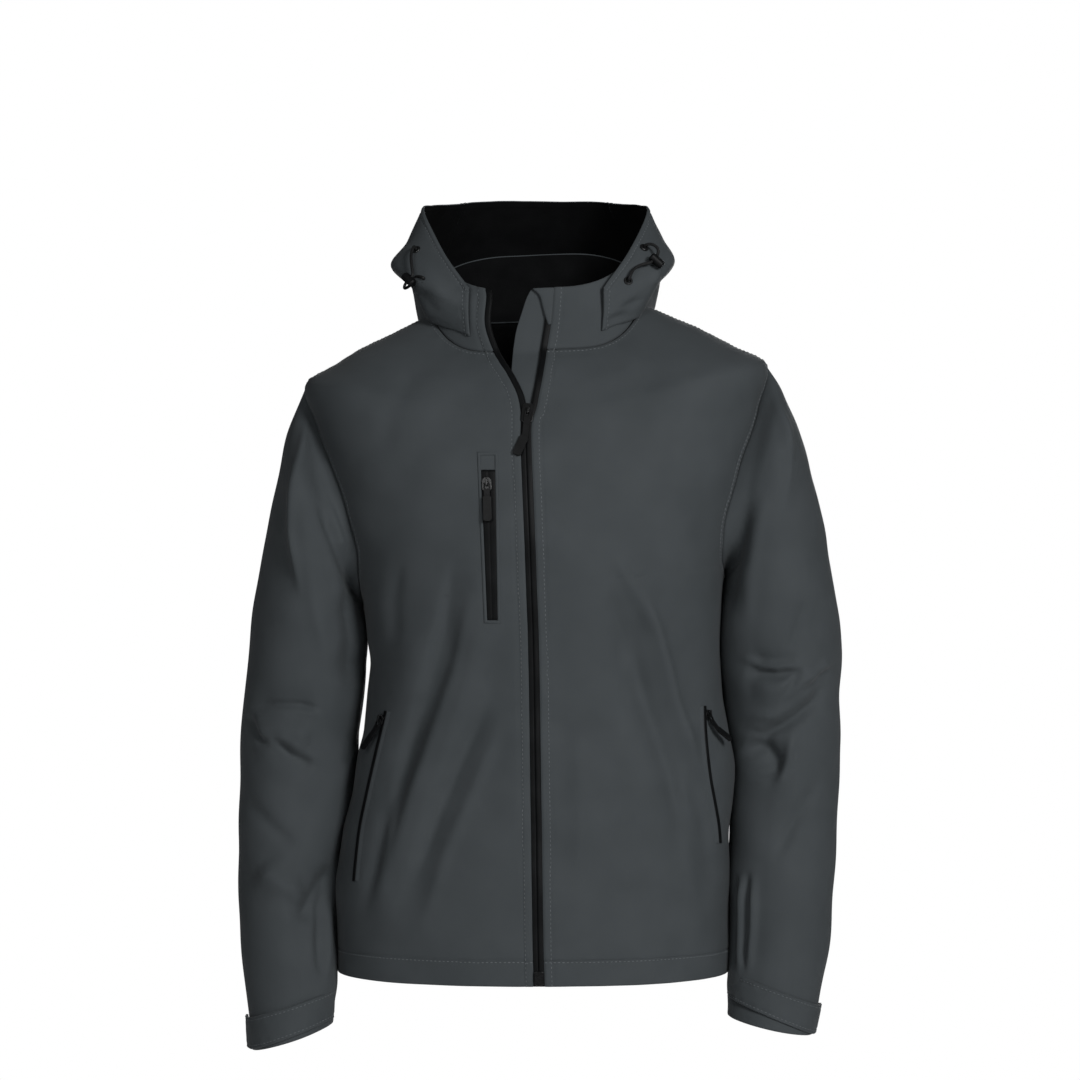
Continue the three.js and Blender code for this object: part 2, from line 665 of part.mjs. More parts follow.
// Levels up one side of a panel: side seam, armhole, then shoulder seam. turn is the place on the armhole
function levels(side) {
  const low = ARMPIT_HEIGHT[side];
  const seam = steps(0, low, STEPS.sideSeam).map((height) => ({ height, turn: null }));
  seam[seam.length - 1].turn = Math.PI;
  const round = steps(Math.PI, 0, STEPS.armhole)
    .slice(1)
    .map((turn) => ({ height: armhole(side, turn)[1], turn }));
  const shoulder = steps(SHOULDER_HEIGHT, NECK_HEIGHT, STEPS.shoulder).slice(1);
  return [...seam, ...round, ...shoulder.map((height) => ({ height, turn: null }))];
}

// Outer edge of a front panel, or of the back, at a level
function outerTurn(side, level, behind) {
  const u = level.turn === null ? (side * Math.PI) / 2 : armhole(side, behind ? -level.turn : level.turn)[0];
  return behind && side === RIGHT ? u + 2 * Math.PI : u;
}

// Point of a body panel and its inner corner, mitred with the sleeve or the collar on their seams
function panelPoint(u, height, side, turn) {
  const outer = bodySurface.point(u, height);
  const normal = bodySurface.normal(u, height);
  let offset;
  if (turn !== null) offset = mitre(normal, sleeveSurface[side].normal(turn, 0), CLOTH);
  else if (height === NECK_HEIGHT) offset = mitre(normal, collarSurface.normal(u, 0), CLOTH);
  else offset = normal.multiplyScalar(-CLOTH);
  return [outer, outer.clone().add(offset)];
}

function frontPanel(side) {
  const rows = levels(side).map((level) => {
    const inner = bodyTurn(frontEdge[side](level.height), level.height);
    const outer = outerTurn(side, level, false);
    return steps(inner, outer, STEPS.front).map((u, i) =>
      panelPoint(u, level.height, side, i === STEPS.front ? level.turn : null),
    );
  });
  return wall(rows);
}

function backPanel() {
  const right = levels(RIGHT);
  const rows = levels(LEFT).map((level, j) => {
    const from = outerTurn(LEFT, level, true);
    const to = outerTurn(RIGHT, right[j], true);
    return steps(0, 1, STEPS.back).map((share, i) => {
      const height = mix(level.height, right[j].height, share);
      const side = i === 0 ? LEFT : RIGHT;
      const own = i === 0 ? level : right[j];
      const turn = i % STEPS.back === 0 && own.turn !== null ? -own.turn : null;
      return panelPoint(mix(from, to, share), height, side, turn);
    });
  });
  return wall(rows);
}

function sleeve(side) {
  const surface = sleeveSurface[side];
  const turns = steps(-Math.PI, Math.PI, 2 * STEPS.armhole).slice(1);
  const rows = steps(0, 1, STEPS.sleeve).map((along) =>
    turns.map((turn) => {
      const outer = surface.point(turn, along);
      const normal = surface.normal(turn, along);
      const offset =
        along === 0
          ? mitre(bodySurface.normal(...armhole(side, turn)), normal, CLOTH)
          : normal.multiplyScalar(-CLOTH);
      return [outer, outer.clone().add(offset)];
    }),
  );
  return wall(rows, true);
}

function collar() {
  const rows = steps(0, 1, STEPS.collar).map((share) => {
    const edge = (side) => collarTurn(frontEdge[side](NECK_HEIGHT + share * COLLAR_HEIGHT), share);
    const turns = [
      ...steps(edge(RIGHT), -Math.PI / 2, STEPS.front),
      ...steps(-Math.PI / 2, (-3 * Math.PI) / 2, STEPS.back).slice(1),
      ...steps((-3 * Math.PI) / 2, edge(LEFT) - 2 * Math.PI, STEPS.front).slice(1),
    ];
    return turns.map((u) => {
      const outer = collarSurface.point(u, share);
      const normal = collarSurface.normal(u, share);
      const offset =
        share === 0
          ? mitre(bodySurface.normal(u, NECK_HEIGHT), normal, COLLAR_WALL)
          : normal.multiplyScalar(-COLLAR_WALL);
      return [outer, outer.clone().add(offset)];
    });
  });
  return wall(rows);
}

// A part of the hood between two shares of the way round
function hoodPart(from, to, count) {
  const rows = steps(0, 1, STEPS.hood).map((rise) =>
    steps(from, to, count).map((round) => layer(hoodSurface, round, rise, -CLOTH, CLOTH)),
  );
  return wall(rows);
}

// A strip of the front, between two functions of rise, lifted off the cloth
function frontStrip(rises, from, to, count, lift, thick) {
  const rows = rises.map((rise) =>
    steps(from(rise), to(rise), count).map((x) => layer(stripSurface, x, rise, lift, thick)),
  );
  return wall(rows);
}

const collarRises = steps(0, 1, STEPS.collar).slice(1).map((share) => NECK_HEIGHT + share * COLLAR_HEIGHT);
const zipRises = (side) => [...levels(side).map((level) => level.height), ...collarRises];

function zipTape(side) {
  const middle = (rise) => (frontEdge[RIGHT](rise) + frontEdge[LEFT](rise)) / 2;
  const inner = (rise) => {
    const edge = frontEdge[side](rise);
    return edge - side * Math.min(TAPE_WIDTH, Math.abs(edge - middle(rise)));
  };
  return frontStrip(zipRises(side), frontEdge[side], inner, 1, -TAPE_SINK - TRIM_WALL, TRIM_WALL);
}

function stormFlap() {
  const free = column(STORM_FLAP, "rise", "free");
  const rises = [
    ...steps(STORM_FLAP[0].rise, FLAP_STRAIGHT, STEPS.flap),
    ...STORM_FLAP.slice(2).map((row) => row.rise),
  ];
  return frontStrip(rises, free, () => FLAP_SEWN_X, 3, -FLAP_DEPTH, TRIM_WALL);
}

function chinGuard() {
  const free = column(CHIN_GUARD, "rise", "free");
  const sewn = (rise) => frontEdge[LEFT](rise) - SEAM_GAP;
  return frontStrip(CHIN_GUARD.map((row) => row.rise), free, sewn, 3, SEAM_GAP - TAPE_SINK, GUARD_WALL);
}

// The strap follows the sleeve's own steps round, so it lies flat on them
function cuffStrap(side) {
  const strap = CUFF_STRAP[side];
  const stride = 180 / STEPS.armhole;
  const inside = steps(180, -90, 270 / stride).filter((turn) => turn < strap.from - 2 && turn > strap.to + 2);
  const rows = [strap.from, ...inside, strap.to].map((degrees) => {
    const cross = smooth(degrees, 0, 180);
    const top = mix(strap.topOut, strap.topIn, cross);
    const bottom = mix(strap.bottomOut, strap.bottomIn, cross);
    const loose = smooth(strap.to + STRAP_LIFT_SPAN - degrees, 0, STRAP_LIFT_SPAN);
    return steps(top, bottom, 2).map((along) =>
      layer(sleeveSurface[side], radians(degrees), along, STRAP_REST + STRAP_LIFT * loose, STRAP_WALL),
    );
  });
  return wall(rows);
}

// Point of a surface that lies at (x, z) in the elevation, from a first guess
function locate(surface, guess, x, z) {
  let [a, b] = guess;
  const seen = (p, q) => elevation(surface.point(p, q), "front");
  const [da, db] = [0.01, surface === bodySurface ? 1 : 0.01];
  for (let i = 0; i < 12; i++) {
    const here = seen(a, b);
    const byA = seen(a + da, b).map((v, k) => (v - here[k]) / da);
    const byB = seen(a, b + db).map((v, k) => (v - here[k]) / db);
    const miss = [x - here[0], z - here[1]];
    const det = byA[0] * byB[1] - byA[1] * byB[0];
    a += clamp((miss[0] * byB[1] - miss[1] * byB[0]) / det, -10 * da, 10 * da);
    b += clamp((byA[0] * miss[1] - byA[1] * miss[0]) / det, -20 * db, 20 * db);
  }
  return [a, b];
}

// Where the line of sight through (x, z) meets a panel's outer face
function seenOn(mesh, [x, z]) {
  const eye = vec(SIGHT.x, -SIGHT.distance, SIGHT.z);
  const ray = new THREE.Raycaster(eye, vec(x, 0, z).sub(eye).normalize());
  return ray.intersectObject(mesh)[0].point;
}

// Outer and inner points of a wall laid on a panel, its inner face lifted off the cloth
function laid(mesh, spot, lift, thick) {
  const point = seenOn(mesh, spot);
  const normal = bodySurface.normal(...onBody(spot));
  return [point.clone().addScaledVector(normal, lift + thick), point.addScaledVector(normal, lift)];
}

const onBody = ([x, z]) => {
  const height = clamp(z - HEM_Z, 0, SHOULDER_HEIGHT);
  return locate(bodySurface, [bodyTurn(x * BODY_GUESS, height), height], x, z);
};

const mixPair = (a, b, t) => [mix(a[0], b[0], t), mix(a[1], b[1], t)];

// A flat ring of cloth round the chest pocket's zip, laid on the right front
function chestWelt(panel) {
  const { top, bottom } = CHEST_WELT;
  const spot = (across, down, inset) => {
    const left = mixPair(top[0], bottom[0], down);
    const right = mixPair(top[1], bottom[1], down);
    const width = right[0] - left[0];
    const x = clamp(mix(left[0], right[0], across), left[0] + inset, right[0] - inset);
    const z = clamp(left[1], bottom[0][1] + inset, top[0][1] - inset);
    return width > 0 ? [x, z] : left;
  };
  const round = [
    ...steps(0, 1, STEPS.welt).map((down) => [0, down]),
    ...steps(0, 1, STEPS.welt).map((up) => [1, 1 - up]),
  ];
  const rows = [0, CHEST_BORDER].map((inset) =>
    round.map(([across, down]) => laid(panel, spot(across, down, inset), LAID_REST, TRIM_WALL)),
  );
  return wall(rows, true);
}

function chestZip(panel) {
  const { top, bottom } = CHEST_WELT;
  const margin = CHEST_BORDER + SEAM_GAP;
  const rows = steps(0, 1, STEPS.welt).map((down) => {
    const z = mix(top[0][1] - margin, bottom[0][1] + margin, down);
    const share = (top[0][1] - z) / (top[0][1] - bottom[0][1]);
    const left = mix(top[0][0], bottom[0][0], share) + margin;
    const right = mix(top[1][0], bottom[1][0], share) - margin;
    return steps(left, right, 2).map((x) => laid(panel, [x, z], LAID_REST, TAPE_LAID));
  });
  return wall(rows);
}

// A band of given width along a line of the elevation, laid on the front. offset moves it across the line
function band(panel, line, offset, width, lift, thick, count) {
  const lengths = line.slice(1).map(([x, z], i) => Math.hypot(x - line[i][0], z - line[i][1]));
  const keys = lengths.reduce((sum, length) => [...sum, sum[sum.length - 1] + length], [0]);
  const at = (s) => [0, 1].map((k) => curve(keys, line.map((p) => p[k]), s));
  const end = keys[keys.length - 1];
  const rows = steps(0, end, count).map((s) => {
    const [ax, az] = at(Math.max(s - 1, 0));
    const [bx, bz] = at(Math.min(s + 1, end));
    const length = Math.hypot(bx - ax, bz - az);
    const normal = [(bz - az) / length, -(bx - ax) / length];
    const middle = at(s);
    return [offset - width / 2, offset + width / 2].map((out) =>
      laid(panel, middle.map((v, k) => v + normal[k] * out), lift, thick),
    );
  });
  return wall(rows);
}

const wasm = await Module();
wasm.setup();

function solidOf(geometry) {
  geometry.deleteAttribute("normal");
  geometry.deleteAttribute("uv");
  const merged = mergeVertices(geometry);
  const mesh = new wasm.Mesh({
    numProp: 3,
    vertProperties: merged.attributes.position.array,
    triVerts: new Uint32Array(merged.index.array),
  });
  return new wasm.Manifold(mesh);
}

// Closed solids joined into one geometry
function joined(...geometries) {
  return solidGeometry(geometries.map(solidOf).reduce((whole, solid) => whole.add(solid)));
}

function solidGeometry(solid) {
  const mesh = solid.getMesh();
  return facingOut(Array.from(mesh.vertProperties), Array.from(mesh.triVerts));
}

// Outline in x and z, extruded through the depth in y
function plate(shape, depth, middle) {
  const geometry = new THREE.ExtrudeGeometry(shape, { depth, bevelEnabled: false, curveSegments: 4 });
  geometry.rotateX(Math.PI / 2);
  return geometry.translate(0, middle + depth / 2, 0);
}

// Rectangle with cut corners, from z = top to z = bottom
function cutRectangle(width, top, bottom, cut, x = 0) {
  const half = width / 2;
  return new THREE.Shape(
    [
      [-half + cut, top],
      [half - cut, top],
      [half, top + cut],
      [half, bottom - cut],
      [half - cut, bottom],
      [-half + cut, bottom],
      [-half, bottom - cut],
      [-half, top + cut],
    ].map(([px, pz]) => new THREE.Vector2(px + x, pz)),
  );
}

// Slider plate with the bridge that the pull hangs from. Its pin line is x at (y, z) = (PIN.y, 0)
function sliderBody(width, length, up) {
  const base = plate(cutRectangle(width, -up, length - up, 2.5), SLIDER.plate, SEAM_GAP + SLIDER.plate / 2);
  const top = SEAM_GAP + SLIDER.plate;
  const arch = new THREE.Shape(
    [
      [-BRIDGE.above, top - 0.2],
      [-BRIDGE.above, top + BRIDGE.height - 0.8],
      [-BRIDGE.above + 0.8, top + BRIDGE.height],
      [BRIDGE.below - 0.8, top + BRIDGE.height],
      [BRIDGE.below, top + BRIDGE.height - 0.8],
      [BRIDGE.below, top - 0.2],
      [BRIDGE.below - BRIDGE.wall, top - 0.2],
      [BRIDGE.below - BRIDGE.wall, top + BRIDGE.height - BRIDGE.wall],
      [-BRIDGE.above + BRIDGE.wall, top + BRIDGE.height - BRIDGE.wall],
      [-BRIDGE.above + BRIDGE.wall, top - 0.2],
    ].map(([z, y]) => new THREE.Vector2(z, y)),
  );
  const bridge = new THREE.ExtrudeGeometry(arch, { depth: BRIDGE.width, bevelEnabled: false });
  bridge.rotateY(-Math.PI / 2).translate(BRIDGE.width / 2, 0, 0);
  return joined(base, bridge);
}

// Pull tab: a loop round the bridge, a link that leans from the loop's end, and a moulded grip, about its pin line
function pullTab({ link, linkWidth, grip, gripWidth, turn, lean = 0 }) {
  const loopEnd = FORK.reach + FORK.end;
  const loop = cutRectangle(linkWidth, -FORK.bar / 2, loopEnd, 0.8);
  const hole = cutRectangle(FORK.gap, FORK.bar / 2, FORK.reach, 0.4);
  loop.holes.push(new THREE.Path(hole.getPoints().reverse()));
  const stem = plate(cutRectangle(linkWidth, -FORK.end / 2, link - loopEnd, 0.5), FORK.bar, 0);
  const tab = plate(cutRectangle(gripWidth, 0, grip, 1.6), GRIP_THICK, 0);
  tab.rotateY(radians(turn)).translate(0, 0, link - loopEnd - GRIP_LAP);
  const hanging = [stem, tab].map((piece) => piece.rotateY(radians(lean)).translate(0, 0, loopEnd));
  return joined(plate(loop, FORK.bar, 0), ...hanging);
}

// Group at a point of the strip or the body: x across, y out of the cloth, z down
function stand(point, normal, down) {
  const z = down.clone().addScaledVector(normal, -down.dot(normal)).normalize();
  const x = normal.clone().cross(z);
  const group = new THREE.Group();
  group.setRotationFromMatrix(new THREE.Matrix4().makeBasis(x, normal, z));
  group.position.copy(point);
  jacket.add(group);
  return group;
}

// Slider and pull of one zip. lift turns the pull off the cloth and lean swings it sideways
function zipHardware(name, group, { width, length, up, pull, lift, lean }) {
  add(name + "_slider", sliderBody(width, length, up), BLACK_LOOK, group);
  const swing = new THREE.Group();
  swing.position.set(0, PIN_HEIGHT, 0);
  swing.rotation.x = -radians(lift);
  add(name + "_pull", pullTab({ ...pull, lean }), BLACK_LOOK, swing);
  group.add(swing);
}

const jacket = new THREE.Group();
function add(name, geometry, look, parent = jacket) {
  const mesh = new THREE.Mesh(geometry, new THREE.MeshStandardMaterial(look));
  mesh.name = name;
  parent.add(mesh);
  return mesh;
}

const fronts = {
  [RIGHT]: add("front_right", frontPanel(RIGHT), CLOTH_LOOK),
  [LEFT]: add("front_left", frontPanel(LEFT), CLOTH_LOOK),
};
add("back", backPanel(), CLOTH_LOOK);
add("collar", collar(), CLOTH_LOOK);
add("hood_right", hoodPart(-1, -HOOD_SEAM, 9), CLOTH_LOOK);
add("hood_centre", hoodPart(-HOOD_SEAM, HOOD_SEAM, 6), CLOTH_LOOK);
add("hood_left", hoodPart(HOOD_SEAM, 1, 9), CLOTH_LOOK);
add("storm_flap", stormFlap(), CLOTH_LOOK);
add("chin_guard", chinGuard(), CLOTH_LOOK);
for (const side of [RIGHT, LEFT]) {
  add("sleeve_" + sideName(side), sleeve(side), CLOTH_LOOK);
  add("cuff_strap_" + sideName(side), cuffStrap(side), CLOTH_LOOK);
  add("zip_tape_" + sideName(side), zipTape(side), BLACK_LOOK);
}
add("chest_welt", chestWelt(fronts[RIGHT]), CLOTH_LOOK);
add("chest_zip", chestZip(fronts[RIGHT]), BLACK_LOOK);

// Front zip
const zipMiddle = (rise) => (frontEdge[RIGHT](rise) + frontEdge[LEFT](rise)) / 2;
const onZip = (rise) => stripSurface.point(zipMiddle(rise), rise);
const zipStand = stand(
  onZip(MAIN_SLIDER_RISE),
  stripSurface.normal(zipMiddle(MAIN_SLIDER_RISE), MAIN_SLIDER_RISE),
  onZip(MAIN_SLIDER_RISE - 20).sub(onZip(MAIN_SLIDER_RISE)),
);
zipHardware("zip", zipStand, { ...MAIN_SLIDER, pull: MAIN_PULL, lift: -3, lean: 0 });
const boxRise = ZIP_BOX.height / 2 + 1;
const boxStand = stand(onZip(boxRise), stripSurface.normal(zipMiddle(boxRise), boxRise), vec(0, 0, -1));
const boxOutline = cutRectangle(ZIP_BOX.width, -ZIP_BOX.height / 2, ZIP_BOX.height / 2, 1);
add("zip_box", plate(boxOutline, ZIP_BOX.thick, SEAM_GAP + ZIP_BOX.thick / 2), BLACK_LOOK, boxStand);

// Pocket zips: the sliders stand on the body, their zips running down the elevation
function bodyStand(panel, spot, below) {
  const point = seenOn(panel, spot);
  return stand(point, bodySurface.normal(...onBody(spot)), seenOn(panel, below).sub(point));
}
const chestStand = bodyStand(fronts[RIGHT], CHEST_SLIDER_AT, [CHEST_SLIDER_AT[0] + 0.6, CHEST_SLIDER_AT[1] - 20]);
chestStand.translateY(LAID_REST + TAPE_LAID);
zipHardware("chest", chestStand, { ...CHEST_SLIDER, pull: CHEST_PULL, lift: -1, lean: 0 });
for (const side of [RIGHT, LEFT]) {
  const { line, lean, lift, turn } = HAND_POCKET[side];
  const name = "pocket_" + sideName(side);
  const zip = band(fronts[side], line, 0, POCKET_ZIP_WIDTH, LAID_REST, TAPE_LAID, STEPS.pocket);
  add("pocket_zip_" + sideName(side), zip, BLACK_LOOK);
  const inward = side * (POCKET_ZIP_WIDTH / 2 + POCKET_LIP_WIDTH / 2 + SEAM_GAP);
  const welt = band(fronts[side], line, inward, POCKET_LIP_WIDTH, LAID_REST, TRIM_WALL, STEPS.pocket);
  add("pocket_welt_" + sideName(side), welt, CLOTH_LOOK);
  const pocketStand = bodyStand(fronts[side], mixPair(line[0], line[1], 0.45), line[2]);
  pocketStand.translateY(LAID_REST + TRIM_WALL);
  const pull = { ...POCKET_PULL, turn };
  zipHardware(name, pocketStand, { ...POCKET_SLIDER, pull, lift, lean });
}

// Hood drawcords. An eyelet is a ring turned about y from its foot at y = 0
function eyelet() {
  const { bore, outer, height, round } = EYELET;
  const profile = [
    [bore, 0],
    [outer, 0],
    [outer, height - round],
    [outer - round, height],
    [bore + round, height],
    [bore, height - round],
    [bore, 0],
  ].map(([r, y]) => new THREE.Vector2(r, y));
  return new THREE.LatheGeometry(profile, STEPS.turned);
}

// Barrel about y, crossed along x by the bore that the cord runs through
function cordLock(shift) {
  const { length, radius, round, bore } = CORD_LOCK;
  const profile = [
    [0, -length / 2],
    [radius - round, -length / 2],
    [radius, round - length / 2],
    [radius, length / 2 - round],
    [radius - round, length / 2],
    [0, length / 2],
  ].map(([r, y]) => new THREE.Vector2(r, y));
  const barrel = solidOf(new THREE.LatheGeometry(profile, STEPS.turned).translate(0, shift, 0));
  const hole = solidOf(new THREE.CylinderGeometry(bore, bore, 4 * radius, STEPS.turned).rotateZ(Math.PI / 2));
  return solidGeometry(barrel.subtract(hole));
}

// Round cord through points
function cordTube(points) {
  const corners = steps(0, 2 * Math.PI, STEPS.cordSides).slice(1);
  const section = new THREE.Shape(
    corners.map((turn) => new THREE.Vector2(CORD_RADIUS * Math.cos(turn), CORD_RADIUS * Math.sin(turn))),
  );
  const extrudePath = new THREE.CatmullRomCurve3(points, false, "centripetal");
  return new THREE.ExtrudeGeometry(section, { steps: STEPS.cord, extrudePath, bevelEnabled: false });
}

for (const side of [RIGHT, LEFT]) {
  const { eyelets, route, lock, barrel, barrelShift } = DRAWCORD[side];
  ["upper", "lower"].forEach((name, i) => {
    const facing = vec(...eyelets[i].facing).normalize();
    const foot = vec(...eyelets[i].at).addScaledVector(facing, SEAM_GAP);
    const ring = stand(foot, facing, vec(0, 0, -1));
    add(`eyelet_${name}_${sideName(side)}`, eyelet(), METAL_LOOK, ring);
  });
  const points = route.map((point) => vec(...point));
  add("drawcord_" + sideName(side), cordTube(points), BLACK_LOOK);
  const bore = points[lock + 1].clone().sub(points[lock - 1]).normalize();
  const along = vec(...barrel);
  along.addScaledVector(bore, -along.dot(bore)).normalize();
  const group = new THREE.Group();
  group.setRotationFromMatrix(new THREE.Matrix4().makeBasis(bore, along, bore.clone().cross(along)));
  group.position.copy(points[lock]);
  jacket.add(group);
  add("cord_lock_" + sideName(side), cordLock(barrelShift), BLACK_LOOK, group);
}

export default jacket;
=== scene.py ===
"""A softshell jacket with a hood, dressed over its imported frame: +Z up, the front facing -Y.

The cloth repeats the rings, seams and folds of the part's own solids on a finer grid and adds the smaller
creases, the turned edges and the stitching. Tables and shapes are in millimetres, meshes in metres.
"""

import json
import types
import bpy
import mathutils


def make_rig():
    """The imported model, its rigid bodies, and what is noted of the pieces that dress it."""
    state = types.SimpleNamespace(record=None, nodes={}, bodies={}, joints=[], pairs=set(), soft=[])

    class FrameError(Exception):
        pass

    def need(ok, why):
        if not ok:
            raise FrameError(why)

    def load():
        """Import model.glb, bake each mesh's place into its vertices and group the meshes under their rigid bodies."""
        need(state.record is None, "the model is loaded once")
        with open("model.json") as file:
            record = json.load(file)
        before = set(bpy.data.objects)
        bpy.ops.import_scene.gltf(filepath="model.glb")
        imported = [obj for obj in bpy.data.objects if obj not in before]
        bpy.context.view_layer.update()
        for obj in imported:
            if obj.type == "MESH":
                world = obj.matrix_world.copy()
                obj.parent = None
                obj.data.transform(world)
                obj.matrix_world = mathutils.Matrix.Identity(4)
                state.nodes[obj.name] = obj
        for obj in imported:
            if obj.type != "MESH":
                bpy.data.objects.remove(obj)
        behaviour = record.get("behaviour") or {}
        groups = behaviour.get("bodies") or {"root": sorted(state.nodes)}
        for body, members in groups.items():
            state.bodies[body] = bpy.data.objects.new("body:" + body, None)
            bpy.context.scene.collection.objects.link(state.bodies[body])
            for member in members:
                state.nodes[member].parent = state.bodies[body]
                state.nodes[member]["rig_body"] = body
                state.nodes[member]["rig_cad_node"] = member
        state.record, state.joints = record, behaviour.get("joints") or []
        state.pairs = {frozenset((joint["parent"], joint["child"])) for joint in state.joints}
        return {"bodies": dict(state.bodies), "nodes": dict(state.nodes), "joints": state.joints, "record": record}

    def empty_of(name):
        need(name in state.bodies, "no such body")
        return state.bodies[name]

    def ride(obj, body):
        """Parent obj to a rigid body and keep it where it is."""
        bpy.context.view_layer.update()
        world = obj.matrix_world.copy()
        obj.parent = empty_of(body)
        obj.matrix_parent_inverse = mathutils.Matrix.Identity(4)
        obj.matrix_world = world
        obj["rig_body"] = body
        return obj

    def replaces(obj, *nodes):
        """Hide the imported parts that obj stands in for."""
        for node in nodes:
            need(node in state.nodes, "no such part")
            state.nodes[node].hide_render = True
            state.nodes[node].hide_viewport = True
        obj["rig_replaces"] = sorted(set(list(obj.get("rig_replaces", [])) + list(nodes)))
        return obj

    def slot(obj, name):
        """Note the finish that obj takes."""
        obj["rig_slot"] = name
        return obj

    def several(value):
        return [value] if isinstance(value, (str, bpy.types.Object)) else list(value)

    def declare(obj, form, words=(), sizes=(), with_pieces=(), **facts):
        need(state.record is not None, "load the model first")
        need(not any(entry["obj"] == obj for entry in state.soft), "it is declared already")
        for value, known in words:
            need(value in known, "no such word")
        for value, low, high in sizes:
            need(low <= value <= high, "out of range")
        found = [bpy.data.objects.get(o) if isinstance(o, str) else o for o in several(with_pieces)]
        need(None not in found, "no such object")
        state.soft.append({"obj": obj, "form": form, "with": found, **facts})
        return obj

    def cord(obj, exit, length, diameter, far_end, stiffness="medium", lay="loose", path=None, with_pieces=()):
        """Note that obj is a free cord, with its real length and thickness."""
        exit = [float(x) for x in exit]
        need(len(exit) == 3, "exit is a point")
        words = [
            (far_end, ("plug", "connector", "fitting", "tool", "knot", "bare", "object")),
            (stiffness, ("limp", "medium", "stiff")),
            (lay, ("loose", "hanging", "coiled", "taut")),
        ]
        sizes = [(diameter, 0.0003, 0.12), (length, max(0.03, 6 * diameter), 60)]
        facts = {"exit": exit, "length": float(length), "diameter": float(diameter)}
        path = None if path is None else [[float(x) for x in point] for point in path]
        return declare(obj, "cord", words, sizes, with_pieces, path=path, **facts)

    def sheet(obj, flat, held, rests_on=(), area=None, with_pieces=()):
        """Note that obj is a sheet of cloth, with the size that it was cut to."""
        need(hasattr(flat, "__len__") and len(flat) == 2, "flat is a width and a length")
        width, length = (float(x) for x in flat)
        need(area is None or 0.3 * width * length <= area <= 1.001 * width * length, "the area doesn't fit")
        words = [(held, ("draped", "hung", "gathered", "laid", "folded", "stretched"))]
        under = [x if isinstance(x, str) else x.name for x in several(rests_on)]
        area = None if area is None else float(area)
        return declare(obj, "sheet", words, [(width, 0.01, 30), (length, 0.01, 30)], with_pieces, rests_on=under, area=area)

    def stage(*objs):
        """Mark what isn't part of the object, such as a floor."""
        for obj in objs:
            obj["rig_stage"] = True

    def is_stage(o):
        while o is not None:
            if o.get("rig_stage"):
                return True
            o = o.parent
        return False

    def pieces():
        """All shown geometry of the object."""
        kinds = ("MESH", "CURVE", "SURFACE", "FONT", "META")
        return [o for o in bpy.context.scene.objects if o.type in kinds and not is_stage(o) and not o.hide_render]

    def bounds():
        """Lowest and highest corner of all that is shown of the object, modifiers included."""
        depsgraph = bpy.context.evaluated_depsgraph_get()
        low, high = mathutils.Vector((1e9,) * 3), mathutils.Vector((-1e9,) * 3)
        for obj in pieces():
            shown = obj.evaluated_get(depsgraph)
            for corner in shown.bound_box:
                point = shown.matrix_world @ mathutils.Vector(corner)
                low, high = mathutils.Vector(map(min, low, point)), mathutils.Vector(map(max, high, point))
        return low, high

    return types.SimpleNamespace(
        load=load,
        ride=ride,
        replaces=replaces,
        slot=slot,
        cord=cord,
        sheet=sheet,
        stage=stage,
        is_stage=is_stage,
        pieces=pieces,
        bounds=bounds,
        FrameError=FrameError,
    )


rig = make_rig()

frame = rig.load()
CAD_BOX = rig.bounds()

import json
import logging
import math
from collections.abc import Callable, Sequence
from dataclasses import dataclass, field
from enum import Enum

import bmesh
import bpy
import numpy as np
from mathutils import Vector
from mathutils.bvhtree import BVHTree
from mathutils.kdtree import KDTree

LOG = logging.getLogger("jacket")
METRE = 0.001
CUT_MAP = "cut"
Array = np.ndarray
Point = tuple[float, float, float]
Spot = tuple[float, float]


class Side(Enum):
    """Right, on -X, and left, on +X."""

    RIGHT = -1
    LEFT = 1

    @property
    def word(self) -> str:
        """The side's name in piece and node names."""
        return self.name.lower()


class View(Enum):
    """The elevation in which a fold is laid out."""

    FRONT = "front"
    BACK = "back"


class Slot(Enum):
    """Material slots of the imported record."""

    CLOTH = "shell_cloth"
    TAPE = "zip_tape"
    TRIM = "moulded_trim"
    METAL = "eyelet_metal"
    CORD = "elastic_cord"


CLOTH = 1.8
COLLAR_WALL = 2.2
HEM_Z = -668.0
SHOULDER_HEIGHT = 594.0
NECK_HEIGHT = 659.0
ARMPIT_HEIGHT = {Side.RIGHT: 376.0, Side.LEFT: 396.0}
SHOULDER_TILT = 0.04
TILT_FROM = 330.0
COLLAR_HEIGHT = 62.0
ARMHOLE_BULGE = (0.25, 0.22)
ARMHOLE_LOW_BULGE = 0.6
SIGHT_X, SIGHT_DISTANCE, SIGHT_Z = 4.0, 3200.0, -240.0
TURN_PASSES = 12

